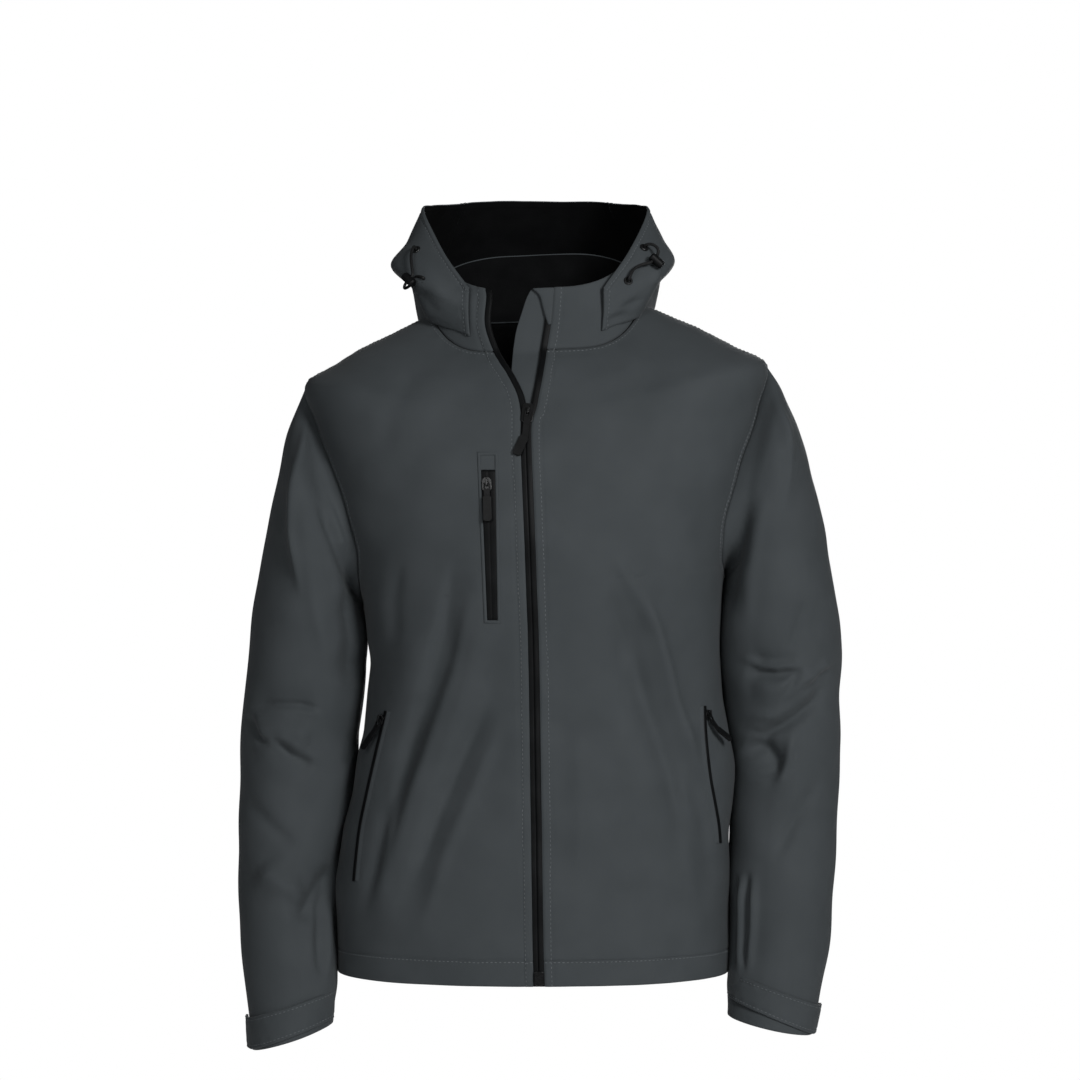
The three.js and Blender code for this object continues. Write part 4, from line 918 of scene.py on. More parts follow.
class SleeveForm(Form):
    """A sleeve: turn from its outer side over the front, and share of the way down."""

    step = (0.01, 0.002)

    def __init__(self, side: Side, piece: str = "") -> None:
        """A sleeve of one side.

        Args:
            side: right or left.
            piece: name of its folds, where they aren't the sleeve's own.
        """
        self.side = side
        self.way = side.value
        self.piece = piece or "sleeve_" + side.word
        self.rows = SLEEVE_RINGS[side]

    def base(self, a: Array, b: Array) -> Array:
        """Points of the plain sleeve."""
        start = BODY.point(*armhole(self.side, a))
        along, out_x, out_z, in_x, in_z, y, front, back = (self.rows[:, k, None] for k in range(8))
        half = np.cos(a) / 2
        deep = np.where(np.sin(a) > 0, -front, back)
        x = self.side.value * ((out_x + in_x) / 2 + half * (out_x - in_x))
        z = (out_z + in_z) / 2 + half * (out_z - in_z)
        rings = np.stack([x, y + deep * np.abs(np.sin(a)), z], -1)
        keys = np.concatenate([[0.0], self.rows[:, 0]])
        return curve(keys, np.concatenate([start[None], rings]), b, each=True)

    def ease(self, a: Array, b: Array) -> Array:
        """The folds start below the armhole."""
        return smooth(b, 0, SLEEVE_EASE)


SLEEVES = {side: SleeveForm(side) for side in Side}


class HoodForm(Form):
    """The hood: round from -1 at the right front corner over the back to 1, rise from its seam to its rim."""

    piece = "hood"
    way = -1

    def base(self, a: Array, b: Array) -> Array:
        """Points of the plain hood."""
        stations = HOOD_LINES[:, 1:].reshape(len(HOOD_LINES), 6, 3)
        mirrored = stations[:0:-1] * (-1, 1, 1)
        lines = np.concatenate([mirrored, stations])
        keys = np.concatenate([-HOOD_LINES[:0:-1, 0], HOOD_LINES[:, 0]])
        at_rise = curve(np.linspace(0, 1, 6), lines.transpose(1, 0, 2), b)
        point = curve(keys, at_rise.transpose(1, 0, 2), a, each=True)
        point[:, 2] += SHOULDER_TILT * point[:, 0] * (1 - b)
        swell = smooth(-a, 0.4, 0.75) * smooth(1 + a, 0, HOOD_CORNER)
        point[:, 0] -= HOOD_FULLNESS * swell * np.exp(-(((b - 0.6) / 0.13) ** 2))
        return point


HOOD = HoodForm()


class StripForm(Form):
    """The front of body and collar as one surface of x and rise."""

    piece = "strip"
    step = (0.4, 0.8)
    span = (0.0, NECK_HEIGHT + COLLAR_HEIGHT)

    def point(self, a: Array, b: Array) -> Array:
        """Points of the front's outer face."""
        a, b = np.broadcast_arrays(np.asarray(a, float), np.asarray(b, float))
        low = b <= NECK_HEIGHT
        points = np.empty((len(a), 3))
        if low.any():
            points[low] = BODY.point(BODY.turn(a[low], b[low]), b[low])
        if not low.all():
            share = (b[~low] - NECK_HEIGHT) / COLLAR_HEIGHT
            points[~low] = COLLAR.point(COLLAR.turn(a[~low], share), share)
        return points

    base = point


STRIP = StripForm()


def front_edge(side: Side, rise: Array) -> Array:
    """x of the opening's edge on one side, at rises."""
    return curve(FRONT_EDGE[:, 0], FRONT_EDGE[:, 1 if side is Side.RIGHT else 2], rise)


@dataclass(frozen=True)
class Weave:
    """How a cloth's yarns show.

    Attributes:
        pitch: distance between yarns, in millimetres.
        depth: height of the yarns, in millimetres.
    """

    pitch: float = 0.55
    depth: float = 0.05


@dataclass(frozen=True)
class Finish:
    """A finish of one material.

    Attributes:
        name: its material's name.
        dark: colour of the darker patches, linear.
        light: colour of the lighter patches, linear.
        rough: lowest and highest roughness.
        patch: size of the patches, in millimetres.
        weave: yarns, where the surface is woven.
        grain: height of a fine grain, in millimetres.
        grain_size: size of the grain, in millimetres.
        metallic: how metallic the surface is.
        coat: weight of a clear coat.
        sheen: weight of the sheen of fine fibres.
        gloss: specular level.
    """

    name: str
    dark: Point
    light: Point
    rough: tuple[float, float]
    patch: float = 60.0
    weave: Weave | None = None
    grain: float = 0.02
    grain_size: float = 0.8
    metallic: float = 0.0
    coat: float = 0.0
    sheen: float = 0.0
    gloss: float = 0.35


SHELL = Finish(
    "softshell_face", (0.037, 0.0432, 0.0468), (0.0425, 0.049, 0.053), (0.7, 0.82), patch=45,
    weave=Weave(0.6, 0.05), grain=0.03, grain_size=0.9, sheen=0.04, gloss=0.22,
)
# Lining colour: partly the fleece's own black, partly painted shade. It is set darker than the fleece really is, to
# stand in for the deep shade inside the hood.
LINING = Finish(
    "bonded_fleece", (0.0022, 0.0024, 0.0026), (0.0036, 0.0038, 0.0041), (0.9, 0.98), patch=20,
    grain=0.25, grain_size=1.6, gloss=0.08,
)
# Thread colour, lighter than the cloth: partly the thread's own grey, partly painted highlight for the light that the
# raised stitches catch.
THREAD = Finish(
    "sewing_thread", (0.085, 0.095, 0.1), (0.12, 0.13, 0.138), (0.5, 0.62), patch=4,
    grain_size=0.3, gloss=0.3,
)
TAPE = Finish(
    "coated_zip_tape", (0.0028, 0.0031, 0.0034), (0.0045, 0.005, 0.0054), (0.42, 0.54), patch=14,
    weave=Weave(0.8, 0.04), gloss=0.08,
)
MOULDED = Finish(
    "moulded_black_trim", (0.0026, 0.0028, 0.003), (0.0045, 0.0048, 0.0052), (0.38, 0.5), patch=6, gloss=0.14,
)
LACQUER = Finish(
    "lacquered_metal", (0.0035, 0.0037, 0.004), (0.008, 0.0084, 0.009), (0.22, 0.34), patch=3,
    metallic=0.3, coat=0.25,
)
BRAID = Finish(
    "braided_elastic", (0.0024, 0.0026, 0.0028), (0.0055, 0.006, 0.0064), (0.5, 0.64), patch=2,
    weave=Weave(0.9, 0.16), gloss=0.3,
)


# Noise values that give the darkest and the lightest patches
PATCH_SPREAD = (0.32, 0.68)


class NodeKit:
    """Small helpers to wire a node tree."""

    def __init__(self, tree: bpy.types.NodeTree) -> None:
        """A kit for one tree."""
        self.tree = tree

    def fill(self, node: bpy.types.Node, feeds: dict[str | int, object]) -> bpy.types.Node:
        """Sets a node's inputs, or links them where the value is a socket.

        Args:
            node: the node.
            feeds: values by the input's name or number.

        Returns:
            The node.
        """
        for key, value in feeds.items():
            if isinstance(value, bpy.types.NodeSocket):
                self.tree.links.new(value, node.inputs[key])
            else:
                node.inputs[key].default_value = value
        return node

    def node(
        self, kind: str, feeds: dict[str | int, object] | None = None, **settings: object
    ) -> bpy.types.Node:
        """A new node.

        Args:
            kind: its type.
            feeds: values of its inputs.
            settings: its properties by name.

        Returns:
            The node.
        """
        made = self.tree.nodes.new(kind)
        for name, value in settings.items():
            setattr(made, name, value)
        return self.fill(made, feeds or {})

    def math(self, operation: str, *values: object) -> bpy.types.NodeSocket:
        """Result of one step of arithmetic."""
        return self.node("ShaderNodeMath", dict(enumerate(values)), operation=operation).outputs[0]

    def noise(self, place: object, size: object) -> bpy.types.NodeSocket:
        """A noise's value from 0 to 1, at a place, with patches of a size in metres."""
        feeds = {"Vector": place, "Scale": self.math("DIVIDE", 1.0, size), "Detail": 2.0}
        return self.node("ShaderNodeTexNoise", feeds).outputs["Fac"]

    def bump(self, height: object, depth: float, under: object = None) -> bpy.types.NodeSocket:
        """A normal bent by a relief.

        Args:
            height: the relief, from 0 to 1.
            depth: its height, in millimetres.
            under: normal of a coarser relief below it.

        Returns:
            The normal's socket.
        """
        feeds = {"Strength": 1.0, "Distance": depth * METRE, "Height": height}
        if under:
            feeds["Normal"] = under
        return self.node("ShaderNodeBump", feeds).outputs["Normal"]


def shader_group(name: str, inputs: Sequence[tuple[str, str, float]], outputs: Sequence[str]) -> NodeKit:
    """An empty shader group with named sockets.

    Args:
        name: the group's name.
        inputs: name, socket type and first value of each input.
        outputs: names of the outputs, each a number.

    Returns:
        A kit for the group's tree, with its input and output nodes in place.
    """
    tree = bpy.data.node_groups.new(name, "ShaderNodeTree")
    for label, kind, value in inputs:
        socket = tree.interface.new_socket(label, in_out="INPUT", socket_type=kind)
        if kind == "NodeSocketFloat":
            socket.default_value = value
    for label in outputs:
        tree.interface.new_socket(label, in_out="OUTPUT", socket_type="NodeSocketFloat")
    kit = NodeKit(tree)
    kit.source = kit.node("NodeGroupInput")
    kit.sink = kit.node("NodeGroupOutput")
    return kit


class Finishes:
    """Makes each finish's material once, from shared groups for yarns and for patches."""

    def __init__(self) -> None:
        """Builds the shared groups."""
        self.yarns = self._yarn_group()
        self.patches = self._patch_group()
        self.made: dict[str, bpy.types.Material] = {}

    def _yarn_group(self) -> bpy.types.NodeTree:
        """Height of crossing yarns, over a surface's own UV map in metres."""
        kit = shader_group(
            "crossing_yarns",
            [("Place", "NodeSocketVector", 0.0), ("Pitch", "NodeSocketFloat", 0.0006)],
            ["Height"],
        )
        parts = kit.node("ShaderNodeSeparateXYZ", {0: kit.source.outputs["Place"]})
        waves = kit.math("DIVIDE", 2 * math.pi, kit.source.outputs["Pitch"])
        warp, weft = (kit.math("SINE", kit.math("MULTIPLY", parts.outputs[k], waves)) for k in (0, 1))
        kit.fill(kit.sink, {"Height": kit.math("MULTIPLY_ADD", kit.math("MULTIPLY", warp, weft), 0.5, 0.5)})
        return kit.tree

    def _patch_group(self) -> bpy.types.NodeTree:
        """Slow patches and fine grain over object coordinates."""
        kit = shader_group(
            "patches_and_grain",
            [("Patch Size", "NodeSocketFloat", 0.04), ("Grain Size", "NodeSocketFloat", 0.001)],
            ["Patches", "Grain"],
        )
        place = kit.node("ShaderNodeTexCoord").outputs["Object"]
        slow, fine = (kit.noise(place, kit.source.outputs[label]) for label in ("Patch Size", "Grain Size"))
        feeds = {"Value": slow, "From Min": PATCH_SPREAD[0], "From Max": PATCH_SPREAD[1]}
        stretched = kit.node("ShaderNodeMapRange", feeds, clamp=True)
        kit.fill(kit.sink, {"Patches": stretched.outputs[0], "Grain": fine})
        return kit.tree

    def material(self, finish: Finish) -> bpy.types.Material:
        """The material of a finish.

        Args:
            finish: the finish.

        Returns:
            Its material, made at the first call.
        """
        if finish.name in self.made:
            return self.made[finish.name]
        material = bpy.data.materials.new(finish.name)
        material.use_nodes = True
        kit = NodeKit(material.node_tree)
        shader = material.node_tree.nodes["Principled BSDF"]
        sizes = {"Patch Size": finish.patch * METRE, "Grain Size": finish.grain_size * METRE}
        patches = kit.node("ShaderNodeGroup", sizes, node_tree=self.patches)
        tones = {"Factor": patches.outputs["Patches"], "A": (*finish.dark, 1), "B": (*finish.light, 1)}
        colour = kit.node("ShaderNodeMix", tones, data_type="RGBA")
        grain = patches.outputs["Grain"]
        low, high = finish.rough
        rough = kit.node("ShaderNodeMapRange", {"Value": grain, "To Min": low, "To Max": high})
        normal = kit.bump(grain, finish.grain)
        if finish.weave:
            place = kit.node("ShaderNodeUVMap", uv_map=CUT_MAP).outputs["UV"]
            pitch = finish.weave.pitch * METRE
            yarns = kit.node("ShaderNodeGroup", {"Place": place, "Pitch": pitch}, node_tree=self.yarns)
            normal = kit.bump(yarns.outputs["Height"], finish.weave.depth, normal)
        kit.fill(shader, {
            "Base Color": colour.outputs["Result"], "Roughness": rough.outputs[0], "Normal": normal,
            "Metallic": finish.metallic, "Specular IOR Level": finish.gloss, "Coat Weight": finish.coat,
            "Coat Roughness": 0.3, "Sheen Weight": finish.sheen, "Sheen Roughness": 0.5,
        })
        self.made[finish.name] = material
        return material


FINISHES = Finishes()


def placed(name: str, data: bpy.types.ID) -> bpy.types.Object:
    """A linked object at the origin, with its data."""
    made = bpy.data.objects.new(name, data)
    bpy.context.scene.collection.objects.link(made)
    return made


def round_off(mesh: bpy.types.Mesh) -> None:
    """Shades all of a mesh's faces smooth."""
    mesh.polygons.foreach_set("use_smooth", np.ones(len(mesh.polygons), bool))


def lay_cut_map(mesh: bpy.types.Mesh, places: Array) -> None:
    """Gives a mesh its UV map along the cloth or cord.

    Args:
        mesh: the mesh.
        places: place of each vertex on the map, in metres.
    """
    corners = np.empty(len(mesh.loops), np.int32)
    mesh.loops.foreach_get("vertex_index", corners)
    mesh.uv_layers.new(name=CUT_MAP).data.foreach_set("uv", places[corners].ravel())


@dataclass(frozen=True)
class Sewing:
    """How cloth lies at its turned edges and beside its lines of stitching, in millimetres.

    Attributes:
        reach: how far inside the last line the cloth is shaped.
        turn: width of the rounding at an edge.
        sink: depth of a line of stitching.
        groove: half the width of its groove.
        pucker: height of the small waves beside the last line.
        spread: how far they reach.
        wave: length of a wave over two pi.
        drift: lengths over which the waves wander and swell.
    """

    reach: float = 8.0
    turn: float = 0.9
    sink: float = 0.85
    groove: float = 1.0
    pucker: float = 0.26
    spread: float = 4.5
    wave: float = 2.3
    drift: tuple[float, float] = (19.0, 31.0)

    def lift(self, edge: "Edge", away: float, along: float) -> float:
        """Height of the cloth beside an edge.

        Args:
            edge: the edge.
            away: distance from it.
            along: distance along it.

        Returns:
            The height over the plain panel.
        """
        height = -edge.dip * math.exp(-((away / self.turn) ** 2))
        if not edge.rows:
            return height
        last = edge.rows[-1]
        raised = smooth(away, 0.4, 1.8) * (1 - smooth(away, last - 0.6, last + 1.8))
        height += edge.raised * float(raised)
        for row in edge.rows:
            height -= self.sink * math.exp(-(((away - row) / self.groove) ** 2))
        wander, swell = self.drift
        waves = math.sin(along / self.wave + 1.7 * math.sin(along / wander))
        waves *= 0.6 + 0.4 * math.sin(along / swell)
        return height + self.pucker * waves * math.exp(-(((away - last) / self.spread) ** 2))


SEWING = Sewing()


@dataclass(frozen=True)
class Edge:
    """One edge or seam of a panel.

    Attributes:
        line: points along it, on the panel's outer face.
        dip: how far the cloth turns in at it.
        rows: distances of its lines of stitching inside it.
        raised: how far the turned cloth between it and the last line stands up.
    """

    line: Array
    dip: float = 0.9
    rows: tuple[float, ...] = ()
    raised: float = 0.0


def tree_of(line: Array, step: float = 0.8) -> tuple[KDTree, Array]:
    """A search tree of close points along a line.

    Args:
        line: the line's points.
        step: distance between the close points.

    Returns:
        The tree, and the distance along the line of each of its points.
    """
    close, places = evenly(line, step)
    tree = KDTree(len(close))
    for i, point in enumerate(close):
        tree.insert(point, i)
    tree.balance()
    return tree, places


@dataclass
class Panel:
    """A piece of cloth as a closed thin shell on a grid.

    Attributes:
        name: the piece's name.
        points: rows and columns of points on the outer face.
        normals: outward normals there.
        wall: thickness of the cloth.
        edges: its edges and seams.
        tube: whether the rows close on themselves.
        finish: finish of the outer face.
        inside: finish of the inner face.
        bvh: search tree of the outer face, made when the edges are pressed.
    """

    name: str
    points: Array
    normals: Array
    wall: float = CLOTH
    edges: list[Edge] = field(default_factory=list)
    tube: bool = False
    finish: Finish = SHELL
    inside: Finish = LINING
    bvh: BVHTree | None = None

    def press_edges(self) -> None:
        """Turns the cloth in at its edges, sinks the lines of stitching and puckers it beside them."""
        flat, out = self.points.reshape(-1, 3), self.normals.reshape(-1, 3)
        lift = np.zeros(len(flat))
        for edge in self.edges:
            reach = max(edge.rows, default=0) + SEWING.reach
            tree, places = tree_of(edge.line)
            low, high = edge.line.min(0) - reach, edge.line.max(0) + reach
            for i in np.flatnonzero((flat > low).all(1) & (flat < high).all(1)):
                _, near, away = tree.find(flat[i])
                if away <= reach:
                    lift[i] += SEWING.lift(edge, away, places[near])
        self.points = (flat + out * lift[:, None]).reshape(self.points.shape)
        self.bvh = self.surface()

    def surface(self) -> BVHTree:
        """A search tree of the outer face."""
        faces = grid_faces(*self.points.shape[:2], self.tube)
        return BVHTree.FromPolygons(self.points.reshape(-1, 3).tolist(), faces.tolist())

    def sewn_lines(self) -> list[Array]:
        """Lines of stitching inside the edges, on the outer face."""
        return [self.line_inside(edge.line, row) for edge in self.edges for row in edge.rows]

    def line_inside(self, line: Array, away: float) -> Array:
        """A line at a distance inside an edge, on the outer face.

        Args:
            line: the edge.
            away: the distance.

        Returns:
            Points about 2.5 mm apart.
        """
        close, _ = evenly(line, 2.5)
        tangent = unit(np.gradient(close, axis=0))
        normal = np.array([self.bvh.find_nearest(p)[1] for p in close])
        inward = unit(np.cross(normal, tangent))
        miss = []
        for way in (1, -1):
            trial = close + way * inward * away
            miss.append(sum(self.bvh.find_nearest(p)[3] for p in trial))
        way = 1 if miss[0] < miss[1] else -1
        found = [self.bvh.find_nearest(p) for p in close + way * inward * away]
        return np.array([hit[0] + hit[1] * 0.1 for hit in found])

    def build(self) -> bpy.types.Object:
        """The panel's mesh: outer face, inner face and a rounded rim.

        Returns:
            The object, linked, with its UV map in metres.
        """
        inner = self.points - self.normals * self.wall
        return shell_object(self.name, self.points, inner, self.tube, self.finish, self.inside)


def grid_faces(rows: int, columns: int, tube: bool) -> Array:
    """Quads of a grid of points.

    Args:
        rows: number of rows.
        columns: number of columns.
        tube: whether the rows close on themselves.

    Returns:
        Four corners for each quad.
    """
    across = np.arange(columns if tube else columns - 1)
    j, i = np.meshgrid(np.arange(rows - 1), across, indexing="ij")
    j, i = j.ravel(), i.ravel()
    k = (i + 1) % columns
    return np.stack([j * columns + i, j * columns + k, (j + 1) * columns + k, (j + 1) * columns + i], 1)


def arc_lengths(points: Array, axis: int) -> Array:
    """Distance along each row or column of a grid of points.

    Args:
        points: the grid.
        axis: 1 along the rows, 0 along the columns.

    Returns:
        The distance of each point, in metres.
    """
    steps = np.linalg.norm(np.diff(points, axis=axis), axis=-1)
    pad = [(0, 0), (0, 0)]
    pad[axis] = (1, 0)
    return np.pad(np.cumsum(steps, axis=axis), pad) * METRE


# How far a rim stands out, as a share of the wall
RIM_BULGE = 0.35


def shell_object(
    name: str, outer: Array, inner: Array, tube: bool, finish: Finish, inside: Finish | None = None
) -> bpy.types.Object:
    """A closed shell between two grids of points.

    Args:
        name: the object's name.
        outer: rows and columns of the outer face.
        inner: the same of the inner face.
        tube: whether the rows close on themselves.
        finish: finish of the outer face and the rim.
        inside: finish of the inner face.

    Returns:
        The object, linked.
    """
    rows, columns = outer.shape[:2]
    count = rows * columns
    faces = grid_faces(rows, columns, tube)
    index = np.arange(count).reshape(rows, columns)
    if tube:
        rims = [closed(index[0]), closed(index[-1])[::-1]]
    else:
        loop = np.concatenate([index[0, :-1], index[:-1, -1], index[-1, :0:-1], index[:0:-1, 0]])
        rims = [closed(loop)]
    flat_outer, flat_inner = outer.reshape(-1, 3), inner.reshape(-1, 3)
    vertices = [flat_outer, flat_inner]
    middle = 0.5 * (flat_outer + flat_inner)
    grid_out = np.zeros_like(outer)
    grid_out[0] += outer[0] - outer[1]
    grid_out[-1] += outer[-1] - outer[-2]
    if not tube:
        grid_out[:, 0] += outer[:, 0] - outer[:, 1]
        grid_out[:, -1] += outer[:, -1] - outer[:, -2]
    thick = np.linalg.norm(flat_outer - flat_inner, axis=1, keepdims=True)
    centre = middle + unit(grid_out.reshape(-1, 3)) * thick * RIM_BULGE
    rim_faces = []
    start = 2 * count
    for rim in rims:
        bulge = closed(np.arange(len(rim) - 1) + start)
        vertices.append(centre[rim[:-1]])
        start += len(rim) - 1
        rim_faces.append(np.stack([rim[1:], rim[:-1], bulge[:-1], bulge[1:]], 1))
        rim_faces.append(np.stack([bulge[1:], bulge[:-1], rim[:-1] + count, rim[1:] + count], 1))
    every = np.concatenate([faces, faces[:, ::-1] + count, *rim_faces])
    points = np.concatenate(vertices)
    corner = points[every[: len(faces)]]
    area = np.cross(corner[:, 2] - corner[:, 0], corner[:, 3] - corner[:, 1])
    out = (flat_outer - flat_inner)[faces[:, 0]]
    if (area * out).sum() < 0:
        every = every[:, ::-1]
    mesh = bpy.data.meshes.new(name)
    mesh.from_pydata((points * METRE).tolist(), [], every.tolist())
    place = np.stack([arc_lengths(outer, 1).ravel(), arc_lengths(outer, 0).ravel()], 1)
    lay_cut_map(mesh, np.concatenate([place, place, *(place[rim[:-1]] for rim in rims)]))
    round_off(mesh)
    mesh.materials.append(FINISHES.material(finish))
    if inside:
        mesh.materials.append(FINISHES.material(inside))
        slots = np.zeros(len(every), np.int32)
        slots[len(faces) : 2 * len(faces)] = 1
        mesh.polygons.foreach_set("material_index", slots)
    mesh.update()
    return placed(name, mesh)


def settle(
    piece: bpy.types.Object, slot: Slot, nodes: Sequence[str] = (), body: str = "jacket"
) -> bpy.types.Object:
    """Makes a piece ride on a body, take a slot's finish and stand for nodes.

    Args:
        piece: the piece.
        slot: its material slot in the record.
        nodes: nodes that it replaces.
        body: the body that it rides on.

    Returns:
        The piece.
    """
    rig.ride(piece, body)
    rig.slot(piece, slot.value)
    if nodes:
        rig.replaces(piece, *nodes)
    LOG.info("%s: %d faces", piece.name, len(piece.data.polygons) if piece.type == "MESH" else 0)
    return piece


class RepeatTool:
    """A Geometry Nodes tree that lays small parts along lines, and the pieces made with it."""

    def __init__(self, name: str, box: bool) -> None:
        """Builds the tree.

        Args:
            name: the tree's name.
            box: whether the part is a block and not a rounded thread.
        """
        self.tree = bpy.data.node_groups.new(name, "GeometryNodeTree")
        face = self.tree.interface
        face.new_socket("Lines", in_out="INPUT", socket_type="NodeSocketGeometry")
        for label in ("Pitch", "Length", "Width", "Unevenness"):
            face.new_socket(label, in_out="INPUT", socket_type="NodeSocketFloat")
        face.new_socket("Finish", in_out="INPUT", socket_type="NodeSocketMaterial")
        face.new_socket("Parts", in_out="OUTPUT", socket_type="NodeSocketGeometry")
        kit = NodeKit(self.tree)
        source, sink = kit.node("NodeGroupInput"), kit.node("NodeGroupOutput")
        given = source.outputs
        curves = kit.node("GeometryNodeMeshToCurve", {"Mesh": given["Lines"]})
        feeds = {"Curve": curves.outputs[0], "Length": given["Pitch"]}
        even = kit.node("GeometryNodeResampleCurve", feeds, mode="LENGTH")
        if box:
            part = kit.node("GeometryNodeMeshCube")
        else:
            part = kit.node("GeometryNodeMeshUVSphere", {"Segments": 5, "Rings": 4, "Radius": 0.5})
        size = kit.node("ShaderNodeCombineXYZ", {0: given["Width"], 1: given["Width"], 2: given["Length"]})
        tangent = kit.node("GeometryNodeInputTangent").outputs[0]
        turn = kit.node("FunctionNodeAlignRotationToVector", {"Vector": tangent}, axis="Z")
        low, high = (kit.math(step, 1.0, given["Unevenness"]) for step in ("SUBTRACT", "ADD"))
        scatter = kit.node("FunctionNodeRandomValue", {2: low, 3: high, "Seed": 11}, data_type="FLOAT")
        feeds = {0: size.outputs[0], "Scale": scatter.outputs[1]}
        scaled = kit.node("ShaderNodeVectorMath", feeds, operation="SCALE")
        laid = kit.node("GeometryNodeInstanceOnPoints", {
            "Points": even.outputs[0], "Instance": part.outputs["Mesh"], "Rotation": turn.outputs[0],
            "Scale": scaled.outputs[0],
        })
        real = kit.node("GeometryNodeRealizeInstances", {0: laid.outputs[0]})
        feeds = {"Geometry": real.outputs[0], "Material": given["Finish"]}
        kit.fill(sink, {0: kit.node("GeometryNodeSetMaterial", feeds).outputs[0]})

    def lay(
        self, name: str, lines: Sequence[Array], finish: Finish, pitch: float, length: float, width: float
    ) -> bpy.types.Object:
        """Small parts along lines, as one plain mesh.

        Args:
            name: the piece's name.
            lines: points of each line, in millimetres.
            finish: the parts' finish.
            pitch: distance between parts.
            length: length of one along the line.
            width: its width.

        Returns:
            The object, linked.
        """
        points, edges = [], []
        for line in lines:
            edges += [(len(points) + i, len(points) + i + 1) for i in range(len(line) - 1)]
            points += (line * METRE).tolist()
        mesh = bpy.data.meshes.new(name + "_lines")
        mesh.from_pydata(points, edges, [])
        carrier = placed(name + "_lines", mesh)
        modifier = carrier.modifiers.new("laid", "NODES")
        modifier.node_group = self.tree
        values = {
            "Pitch": pitch * METRE,
            "Length": length * METRE,
            "Width": width * METRE,
            "Unevenness": UNEVENNESS,
            "Finish": FINISHES.material(finish),
        }
        for item in self.tree.interface.items_tree:
            if item.in_out == "INPUT" and item.name in values:
                modifier[item.identifier] = values[item.name]
        graph = bpy.context.evaluated_depsgraph_get()
        made_mesh = bpy.data.meshes.new_from_object(carrier.evaluated_get(graph), depsgraph=graph)
        bpy.data.objects.remove(carrier)
        made_mesh.name = name
        round_off(made_mesh)
        return placed(name, made_mesh)


THREADS = RepeatTool("stitches_along_lines", box=False)
TEETH = RepeatTool("teeth_along_lines", box=True)
STITCH_PITCH, STITCH_LENGTH, STITCH_WIDTH = 4.2, 2.5, 0.85
TOOTH_PITCH, TOOTH_LENGTH, TOOTH_WIDTH = 1.5, 0.8, 1.1
UNEVENNESS = 0.08


def stitch(name: str, lines: Sequence[Array]) -> bpy.types.Object:
    """Stitches along lines, as a settled piece."""
    made = THREADS.lay(name, lines, THREAD, STITCH_PITCH, STITCH_LENGTH, STITCH_WIDTH)
    return settle(made, Slot.CLOTH)


def area_of(piece: bpy.types.Object) -> float:
    """Area of one face of a closed shell, in square metres."""
    return sum(polygon.area for polygon in piece.data.polygons) / 2


def declare(
    piece: bpy.types.Object, flat: Spot, share: float, on: Sequence[bpy.types.Object] = ()
) -> None:
    """Declares a piece as a sheet of cloth.

    Args:
        piece: the piece.
        flat: width and length of the cut, in metres.
        share: share of that rectangle that the cut fills.
        on: pieces sewn on it.
    """
    cut = flat[0] * flat[1] * share
    LOG.info("%s: area %.4f, cut %.4f", piece.name, area_of(piece), cut)
    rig.sheet(piece, flat=flat, held="draped", area=cut, with_pieces=list(on))


